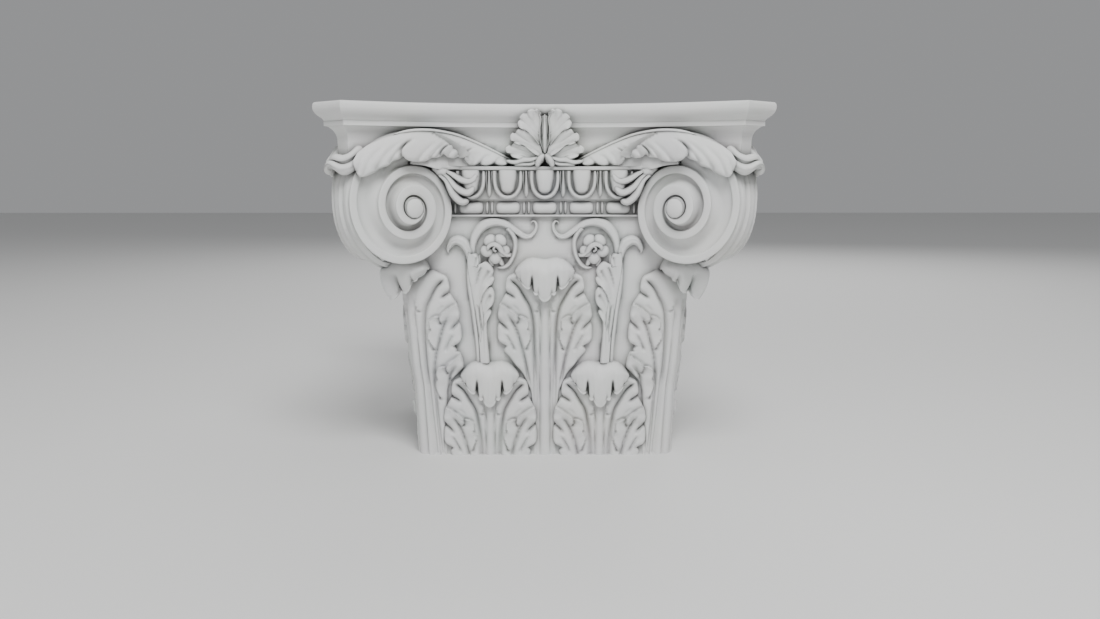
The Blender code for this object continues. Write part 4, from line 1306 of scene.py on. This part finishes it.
@dataclass
class Spray:
    """Channel from the flower to the scroll's crown, with the drooping leaf that lies in it."""

    cup_radius: float = 0.0250
    cup_axis: float = 0.2520
    palm_face: float = 0.209
    web_inset: float = 0.0238

    def wall(self, x: Array, z: Array, lift: Array) -> Array:
        """Puts points on the channel's face, and past it on the scroll's rim. x runs from the middle out."""
        web = HOLLOW.depth(np.minimum(x, 0.262), np.full_like(x, self.web_inset)) + 2.0 * MM
        quarters = np.interp(x, [0.1724, 0.207, 0.2312, 0.2509], [0.0, 0.27, 0.5, 1.0])
        crown = 18.4 * MM * (1.0 - quarters) ** 1.5
        scroll = SCROLL.y + (x - SCROLL.x) * math.tan(SCROLL.turn) + crown
        share = ease((x - 0.055) / 0.122)
        deep = web * (1.0 - share) + np.maximum(web, scroll) * share
        return np.column_stack([-x, -(deep + lift), z + BAND_TOP])

    def channel(self) -> list[Mesh]:
        """Thin rim along the channel's top, and the web under it."""
        rim = Ribbon(
            [(44, 8.6), (58, 15), (76, 24), (95, 32.8), (118, 41.6), (143, 46.2), (163, 46.6), (182, 44),
             (196, 40)],
            [1.6, 1.8, 2.0, 2.1, 2.2, 2.2, 2.2, 2.2, 1.6], [5.0, 5.6, 6.0, 6.0, 5.0], length_steps=60,
            cross_steps=6,
        )
        web = Frond(
            [(44, 9), (58, 16.5), (76, 25.5), (95, 34.4), (118, 42.8), (143, 47), (163, 47.2), (176, 45)],
            [(44, -2), (58, -2), (76, -2), (95, -2), (116, -3), (138, -4), (158, 1), (177, 3)],
            [2.0, 0.8, 0.4, 0.4, 0.8], along_steps=40, out_steps=8, root=10.0, rim=0.0, least=0.2,
        )
        return [rim.build(self.wall), web.build(self.wall)]

    def leaf(self) -> list[Mesh]:
        """Leaf of four drooping lobes, each with a serrated end and long creases."""
        edge = (
            (48.3, 5.5), (53, 0.5), (59, -0.5), (64, 1), (68.7, 3.4), (73.5, 1), (79, -0.4), (84.5, 1),
            (88.5, 3.4), (94, 1), (100, 1.6), (104.5, 5), (107.6, 10.5), (111.5, 14), (116.5, 12.4),
            (122, 10.8), (129, 12.2), (133.8, 16), (138.4, 12.4), (143.5, 11.4), (149, 10.6), (154.5, 7.4),
            (162, 5.8), (171, 6), (178.5, 8.4), (183.4, 13.2), (189, 9.4), (196.5, 6.6), (202.5, 0.8),
            (213, -2.6), (220.5, -8), (229, -12.2), (236.5, -13.6), (240.8, -6.5), (243.8, 1), (243.4, 7.4),
        )
        crest = np.array((
            (48.3, 8.6), (55.9, 12.8), (71.2, 20.8), (91.7, 30.4), (114.6, 39.4), (142.8, 45.0), (163.2, 45.4),
            (183.8, 42.4), (206.6, 35.8), (224.5, 27.8), (238.5, 17.6), (243.6, 7.4),
        ))
        rise = [float(np.interp(x, *crest.T)) for x, _ in edge]
        starts = np.maximum.accumulate([max(x - 0.35 * (top - z), 48.3) for (x, z), top in zip(edge, rise)])
        for _ in range(3):
            starts[1:-1] = (starts[:-2] + 2.0 * starts[1:-1] + starts[2:]) / 4.0
        along = starts + np.arange(len(edge)) * 0.01
        spine = [(float(x), float(np.interp(x, *crest.T))) for x in along]
        grooves = (
            ([(68.7, 3), (62, 10), (55, 12.5)], 1.5, 1.6), ([(87.8, 3), (80, 12), (68, 17)], 1.6, 1.9),
            ([(98, 1), (92, 14), (80, 22)], 2.0, 1.2),
            ([(118.5, 12), (110, 21), (99, 29.5)], 1.6, 1.8), ([(129, 12), (120, 24), (106, 33)], 1.8, 1.8),
            ([(151, 9), (141, 22), (126, 35)], 1.8, 2.2), ([(166, 6), (155, 20), (138, 36)], 2.0, 2.0),
            ([(142, 12), (134, 22), (122, 31)], 1.6, 1.4),
            ([(200, 4), (190, 18), (174, 31), (160, 39)], 2.0, 2.4),
            ([(217, -5), (207, 10), (192, 26), (174, 38)], 2.2, 2.4),
            ([(232, -12), (224, 6), (210, 22), (194, 33)], 2.2, 1.8),
            ([(240, -7), (234, 8), (224, 20)], 1.8, 1.4),
        )
        laps = (
            ([(90, 23.5), (97, 23.0), (103, 19.4), (106.4, 14.6), (107.6, 9)], 2.8, 4.0, 5.0),
            ([(120, 29.0), (127, 27.2), (132.6, 23), (136.2, 17.6), (137, 11)], 3.0, 4.4, 5.5),
            ([(166, 33.5), (174, 31.4), (180.4, 26.4), (184.2, 19.4), (184.4, 9)], 3.4, 5.0, 6.5),
        )
        whole = Frond(
            spine, edge, [4.6, 6.6, 8.6, 9.8, 10.6, 11.0, 10.6, 9.0], grooves, laps, along_steps=176,
            out_steps=24, root=13.0,
        )
        return [whole.build(self.wall)]

    def palmette(self) -> list[Mesh]:
        """Half palmette of three curling fingers beside the eggs."""
        routes = (
            ((140, -2), (127, -9), (111, -18.5), (98, -18.5), (91, -8), 5.0),
            ((141, -6), (130, -14), (118, -29), (104, -35), (94, -26), 5.4),
            ((142, -10), (132, -19), (122.5, -37), (112, -47), (102, -45), 5.4),
        )
        made = []
        for *route, half in routes:
            strip = Ribbon(
                route, [half * 0.45, half * 0.6, half * 0.85, half, half, half * 0.8], [9, 11, 12.5, 12, 9.5],
                groove=1.3, length_steps=26, cross_steps=8,
            )
            made.append(strip.build(self.palm_wall))
        collar = Ribbon([(150, 1), (140, -4), (130, -10)], [5.5, 8.5, 7.5], [9, 11, 10], length_steps=10,
                        cross_steps=6)
        made.append(collar.build(self.palm_wall))
        return made

    def palm_wall(self, x: Array, z: Array, lift: Array) -> Array:
        """Puts points on the band, with the root of the palmette brought out to the scroll."""
        out = ease((x - 0.100) / 0.05) * 12.0 * MM
        return np.column_stack([-x, -(self.palm_face + out + lift), z + BAND_TOP])

    def cup(self) -> list[Mesh]:
        """Curled leaf end under the horn, round the top of the corner."""
        radius, made = self.cup_radius, []
        for height, width, lift, point in ((-7.0, 7.6, 3.0, 1.0), (5.0, 8.6, -4.5, 0.35)):
            def lay(u: Array, v: Array) -> Array:
                """Places for shares along and across."""
                angle = (u - 0.5) * math.radians(190.0)
                turn = v * math.tau * 0.999
                beak = point * np.exp(-((angle / 0.42) ** 2))
                thick = width * MM * (1.0 - 0.42 * beak)
                tuck = 0.004 * np.abs(np.sin(angle)) ** 4
                out = radius + (lift + 4.0 * beak) * MM + thick * np.cos(turn) - tuck
                x = out * np.sin(angle)
                y = out * np.cos(angle)
                rise = 10.0 * beak + 13.0 * np.abs(np.sin(angle)) ** 4
                z = BAND_TOP + (height + rise) * MM + thick * np.sin(turn)
                slant = math.sqrt(0.5)
                return np.column_stack([
                    x * slant - y * slant - self.cup_axis, -x * slant - y * slant - self.cup_axis, z
                ])

            made.append(sheet(48, 14, lay))
        return made

    def build(self, bench: Bench) -> None:
        """Makes the sprays, channels and palmettes of all faces."""
        bench.add("channels", self.channel(), Repeat.HALVES)
        bench.add("sprays", self.leaf(), Repeat.HALVES, SMOOTH)
        bench.add("palmettes", self.palmette(), Repeat.HALVES, SMOOTH)
        bench.add("horn_cups", self.cup(), Repeat.FACES)


# Stalks and flowers


@dataclass
class Stalk:
    """Fluted stalk with its sheath leaf, two curling tendrils and a small rosette."""

    rosette_x: float = 68.0
    rosette_z: float = 297.0

    def wall(self, x: Array, z: Array, lift: Array) -> Array:
        """Puts points on the bell. x runs from the middle out."""
        return BELL.place(-x, z, lift)

    def stem(self) -> list[Mesh]:
        """Three flutes that rise side by side."""
        made = []
        for foot, waist, top, half in ((92.5, 98.5, 104.0, 3.4), (86.5, 93.5, 98.0, 3.6),
                                       (80.5, 87.5, 90.0, 3.4)):
            made.append(Ribbon(
                [(foot, 118), (foot + 1.5, 160), (waist, 205), (top, 250), (top + 0.5, 290)],
                [half, half, half * 1.1, half * 1.2, half * 0.9], [6, 7, 8, 8, 6], length_steps=22,
                cross_steps=6,
            ).build(self.wall))
        return made

    def sheath(self) -> list[Mesh]:
        """Lobed leaf around the top of the stem."""
        leaf = Frond(
            [(89.9, 133.6), (90.8, 152), (92, 170), (94.6, 194), (98, 220), (102, 245), (104.5, 262),
             (106, 278), (105, 292)],
            [(77.6, 133.6), (78.1, 142), (78.8, 152), (79.6, 162), (80.4, 173), (81, 186), (80, 199),
             (76.6, 203), (74.3, 208), (76.4, 213.6), (72, 219), (70, 226),
             (70.2, 236), (74, 242.6), (78.4, 244), (73, 247), (70, 254), (72.4, 259), (70.8, 266), (74.6, 274),
             (80.5, 278.4), (85.4, 276.6), (88.4, 270), (90, 276), (91.2, 284), (95, 290), (99, 288)],
            [7.5, 8.4, 9.0, 9.6, 10.0, 9.6, 8.6],
            (([(75.6, 213.6), (80, 207), (84, 194)], 1.6, 2.0),
             ([(75, 232), (82, 218), (86, 196), (85.6, 160), (82, 116)], 1.9, 2.6),
             ([(71.6, 259), (78, 252), (84, 240)], 1.6, 1.8),
             ([(77, 266), (86, 246), (91, 220), (90.4, 170), (86.4, 116)], 1.9, 2.6),
             ([(94, 284), (97, 262), (97.6, 240)], 1.8, 1.8)),
            (([(91, 205), (89, 220), (85, 233), (80, 241), (76, 244.6)], 2.2, 2.8, 6.0),
             ([(96, 232), (95, 248), (92, 261), (88.6, 271)], 2.2, 2.8, 6.0)),
            along_steps=114, out_steps=20,
        )
        return [leaf.build(self.wall)]

    def tendrils(self) -> list[Mesh]:
        """Large curl towards the middle, small hook outwards, and the ring round the rosette."""
        curl = Ribbon(
            [(99.5, 286), (99, 302), (94, 316), (84, 328), (70, 333), (56, 331), (46, 325), (36, 318),
             (27, 313), (19, 314), (13, 321), (11.5, 329), (14.5, 334), (18.5, 332.5), (18, 329)],
            [3.4, 4.8, 5.6, 6.4, 7.0, 7.0, 6.2, 5.2, 4.8, 4.4, 3.8, 3.0, 2.4, 2.0, 1.6],
            [6, 7.5, 8, 8, 8, 8, 7.5, 7, 7, 6.5, 6, 5.5, 5, 5, 5], groove=1.2, length_steps=74, cross_steps=7,
        )
        ring = Ribbon(
            [(52, 326), (45, 318), (40.5, 306), (41.5, 292), (45.6, 281), (51, 273.4), (59, 270), (67, 270.6)],
            [3.8, 3.6, 3.4, 3.2, 3.2, 3.2, 2.6, 1.6], [7.5, 7.5, 7, 7, 7, 7, 6, 4], groove=0.8, length_steps=34,
            cross_steps=6,
        )
        hook = Ribbon(
            [(102, 276), (104.5, 291), (109.5, 302), (117.5, 307.5), (125.5, 306.5), (131, 300), (133, 293),
             (130.5, 289)],
            [4.0, 5.0, 6.2, 7.2, 7.0, 5.6, 3.6, 0.8], [7, 8, 10, 11, 11, 10, 7.5, 4], groove=1.6,
            length_steps=40, cross_steps=8,
        )
        return [shape.build(self.wall) for shape in (curl, ring, hook)]

    def rosette(self) -> list[Mesh]:
        """Five round petals about a small curled heart."""
        made = []
        for number in range(5):
            angle = math.radians(72.0 * number + 54.0)
            x, z = self.rosette_x + 11.5 * math.cos(angle), self.rosette_z + 12.5 * math.sin(angle)
            centre = self.wall(np.array([x * MM]), np.array([z * MM]), np.array([5.0 * MM]))[0]
            size = (9.6 * MM, 5.4 * MM, 8.4 * MM, 1.0)
            matrix = Matrix.Translation(centre) @ Matrix.Rotation(-angle, 4, "Y") @ Matrix.Diagonal(size)
            made.append(ball(16, 10, 1.0, matrix))
        heart = Ribbon(
            [(45, 287), (52, 288), (58, 292), (63, 299), (70, 302.5), (77, 299), (78, 291)],
            [2.4, 4.0, 4.8, 5.0, 4.4, 3.6, 2.0],
            [7, 10, 12.5, 14.5, 15, 14, 11], groove=1.0, length_steps=26, cross_steps=6,
        )
        curl = Ribbon(
            [(66, 292), (70, 296), (67, 300), (63, 298), (64, 295)], [2.4, 2.6, 2.4, 2.0, 1.4],
            [13, 14.5, 14.5, 14, 13.5],
            length_steps=20, cross_steps=5,
        )
        leaflets = [
            Ribbon([(66, 290), (62, 280), (56, 271)], [3.0, 4.6, 3.8, 1.6], [7, 7.5, 4.5], groove=0.8,
                   length_steps=12),
            Ribbon([(72, 288), (74, 280), (72, 271)], [3.0, 4.2, 3.6, 1.8], [7, 7.5, 4.5], groove=0.8,
                   length_steps=12),
        ]
        return made + [heart.build(self.wall), curl.build(self.wall),
                       *(leaf.build(self.wall) for leaf in leaflets)]

    def build(self, bench: Bench) -> None:
        """Makes the stalks of all faces."""
        bench.add("stalks", self.stem() + self.sheath(), Repeat.HALVES, SMOOTH)
        bench.add("tendrils", self.tendrils(), Repeat.HALVES, SMOOTH)
        bench.add("rosettes", self.rosette(), Repeat.HALVES, SMOOTH)


@dataclass
class Flower:
    """Flower of three pairs of lobes over the middle of each side of the abacus."""

    face: float = 0.2105

    def wall(self, x: Array, z: Array, lift: Array) -> Array:
        """Puts points on an upright face in front of the abacus."""
        return np.column_stack([-x, -(self.face + lift - 0.05 * np.abs(x)), z])

    def lobes(self) -> list[Mesh]:
        """Left half of the three pairs, the lowest first."""
        low = Frond(
            [(2, 414), (2.2, 416), (2.6, 419), (3, 421)],
            [(3, 410), (15.7, 414), (26, 416), (32, 417.6), (38, 418.6), (44.2, 421), (47, 425.6),
             (50.7, 426.2), (52.8, 431.7), (48.1, 436), (45, 435.6), (40.4, 439.6), (33.9, 438.2),
             (25.4, 433.5), (15.7, 425), (5, 421)],
            [9.0, 8.0, 7.0, 7.4, 8.6, 9.6, 9.8],
            (([(30, 422), (20, 421), (8, 418)], 2.4, 1.2), ([(46.6, 425), (32, 425), (12, 420)], 2.4, 1.8),
             ([(45.6, 436), (32, 430), (14, 422)], 2.4, 1.8)),
            along_steps=64, out_steps=14, root=14.0,
        )
        middle = Frond(
            [(3, 424), (4, 428), (5, 432), (6, 437)],
            [(7, 421), (15.7, 425.4), (25.4, 433.4), (31, 437), (33.9, 436.4), (40.4, 438.8), (42.4, 441.6),
             (45.2, 442.6), (46, 448), (42.9, 452.4), (39.6, 451.8), (37.6, 454.4), (35.2, 457.2), (30, 457.9),
             (24.8, 456), (15.7, 447.6), (7, 438)],
            [13.0, 11.5, 10.6, 11.0, 12.2, 13.2, 13.4],
            (([(32.6, 436), (22, 432), (8, 427)], 2.4, 1.2), ([(41.8, 441.6), (28, 438), (9, 430)], 2.4, 1.8),
             ([(40.6, 452.6), (28, 444), (10, 434)], 2.4, 1.8)),
            along_steps=66, out_steps=14, root=14.0,
        )
        top = Frond(
            [(3.6, 436), (4, 440), (4.6, 446), (5.2, 453), (5.4, 462), (4.6, 471), (5.0, 479)],
            [(6.6, 435), (15.7, 446.6), (24.8, 455.4), (28, 456), (30, 457), (34.2, 459.8), (35.8, 465.5),
             (33, 469.8), (33.2, 473.2), (28.7, 477.4), (24, 477.6), (22.4, 481.2), (17, 483.6), (13.4, 482.4),
             (10.6, 483.6), (6.0, 480)],
            [14.5, 13.0, 12.4, 13.2, 14.8, 16.2, 16.4],
            (([(28.4, 456.6), (20, 452), (9, 443)], 2.4, 1.2), ([(33.6, 470.2), (22, 461), (9, 447)], 2.4, 1.7),
             ([(24.4, 478), (18, 466), (9.6, 452)], 2.4, 1.7),
             ([(13.6, 483), (12, 472), (9.6, 460)], 2.2, 1.2)),
            along_steps=72, out_steps=16, root=14.0,
        )
        return [frond.build(self.wall) for frond in (low, middle, top)]

    def heart(self) -> list[Mesh]:
        """Slender forked drop, the cup and the ribbons below it."""
        drop = Ribbon(
            [(0, 424), (0, 432), (0, 445), (0, 460), (0, 473), (0, 478)], [1.0, 3.4, 4.6, 4.2, 2.6, 1.4],
            [14, 18, 20.5, 20, 18, 15], length_steps=30, cross_steps=8, root=8.0,
        )
        forks = [
            Ribbon(
                [(side * 1.4, 428), (side * 6.0, 442), (side * 6.4, 458), (side * 5.0, 470),
                 (side * 9.0, 479.5)],
                [1.0, 1.3, 1.4, 1.4, 1.6], [12, 17, 18.5, 18, 15.5], length_steps=28, cross_steps=5, root=8.0,
            )
            for side in (-1.0, 1.0)
        ]
        base = Ribbon([(0, 424), (0, 445), (0, 462), (0, 477)], [3.0, 7.6, 8.0, 7.6, 6.0],
                      [12, 16.6, 17.0, 14.6],
                      length_steps=20, cross_steps=6, root=8.0)
        made = [drop.build(self.wall), base.build(self.wall), *(fork.build(self.wall) for fork in forks)]
        for side in (-1.0, 1.0):
            made.append(Ribbon(
                [(0, 425), (side * 5, 420), (side * 9.5, 412), (side * 9.5, 406.5)], [4.5, 5.6, 5.0, 3.2],
                [13, 14, 13, 10],
                groove=0.6, length_steps=16, cross_steps=7, root=8.0,
            ).build(self.wall))
            made.append(Ribbon(
                [(side * 6, 421), (side * 18, 417), (side * 29, 416.5), (side * 40, 413.5), (side * 53, 415.5)],
                [3.4, 3.6, 4.2, 3.4, 2.2], [11, 11, 11.5, 10, 7], groove=1.0, length_steps=26, cross_steps=7,
                root=8.0,
            ).build(self.wall))
            made.append(Ribbon(
                [(side * 8, 416), (side * 18, 411.5), (side * 30, 411), (side * 42, 409.5)],
                [2.6, 3.0, 3.2, 1.6], [9, 9.5, 9.0, 7], groove=0.8, length_steps=20, cross_steps=6, root=8.0,
            ).build(self.wall))
        return made

    def build(self, bench: Bench) -> None:
        """Makes the flowers of all faces."""
        bench.add("flower_lobes", self.lobes(), Repeat.HALVES, SMOOTH)
        bench.add("flower_hearts", self.heart(), Repeat.FACES, SMOOTH)


# Studio


@dataclass
class Studio:
    """Plain pale floor, soft light and the camera at the photograph's place."""

    distance: float = 1.5711
    eye_height: float = 0.4032
    pitch: float = math.radians(-7.94)
    yaw: float = math.radians(-0.298)
    sensor: float = 36.0
    lens: float = 36.0 * 1000.0 / 1100.0
    floor_half: float = 8.0
    aim_height: float = 0.25
    sky_strength: float = 0.34
    floor_colour: tuple[float, float, float] = (0.72, 0.72, 0.71)

    def camera(self) -> None:
        """Places the camera."""
        data = bpy.data.cameras.new("camera")
        data.sensor_fit, data.sensor_width, data.lens = "HORIZONTAL", self.sensor, self.lens
        data.clip_start, data.clip_end = 0.05, 60.0
        camera = bpy.data.objects.new("camera", data)
        camera.location = (0.0, -self.distance, self.eye_height)
        camera.rotation_euler = (math.pi / 2.0 + self.pitch, 0.0, self.yaw)
        bpy.context.scene.collection.objects.link(camera)
        bpy.context.scene.camera = camera

    def floor(self) -> None:
        """Lays the flat floor."""
        shell = bmesh.new()
        bmesh.ops.create_grid(shell, x_segments=1, y_segments=1, size=self.floor_half)
        mesh = bpy.data.meshes.new("floor")
        shell.to_mesh(mesh)
        shell.free()
        floor = bpy.data.objects.new("floor", mesh)
        bpy.context.scene.collection.objects.link(floor)
        material = bpy.data.materials.new("floor_paint")
        material.use_nodes = True
        shader = material.node_tree.nodes["Principled BSDF"]
        shader.inputs["Base Color"].default_value = (*self.floor_colour, 1.0)
        shader.inputs["Roughness"].default_value = 0.9
        mesh.materials.append(material)

    def lamp(self, name: str, place: tuple[float, float, float], size: float, power: float) -> None:
        """Hangs one square lamp that faces the capital."""
        data = bpy.data.lights.new(name, "AREA")
        data.shape, data.size, data.energy = "SQUARE", size, power
        lamp = bpy.data.objects.new(name, data)
        lamp.location = place
        aim = Vector((0.0, 0.0, self.aim_height)) - Vector(place)
        lamp.rotation_euler = aim.to_track_quat("-Z", "Y").to_euler()
        bpy.context.scene.collection.objects.link(lamp)

    def build(self) -> None:
        """Sets up the studio."""
        self.camera()
        self.floor()
        self.lamp("key_light", (0.35, -2.0, 2.5), size=1.2, power=96.0)
        self.lamp("fill_light", (-2.0, -2.4, 0.8), size=2.0, power=16.0)
        self.lamp("back_light", (0.6, 2.6, 2.2), size=2.4, power=50.0)
        world = bpy.data.worlds.new("studio")
        world.use_nodes = True
        sky = world.node_tree.nodes["Background"]
        sky.inputs["Color"].default_value = (0.92, 0.93, 0.95, 1.0)
        sky.inputs["Strength"].default_value = self.sky_strength
        bpy.context.scene.world = world


def main() -> None:
    """Builds the pieces in order, then logs the number of triangles."""
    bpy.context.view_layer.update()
    bench = Bench(Plaster())
    Body().build(bench)
    Leaves().build(bench)
    SCROLL.build(bench)
    EggRow().build(bench)
    Spray().build(bench)
    Stalk().build(bench)
    Flower().build(bench)
    # Bakes the occlusion that the plaster paints as shade in creases and recesses.
    OcclusionShade().settle(bench.pieces)
    Studio().build()
    LOG.info("in all %d triangles", sum(bench.made.values()))


if __name__ == "__main__":
    main()
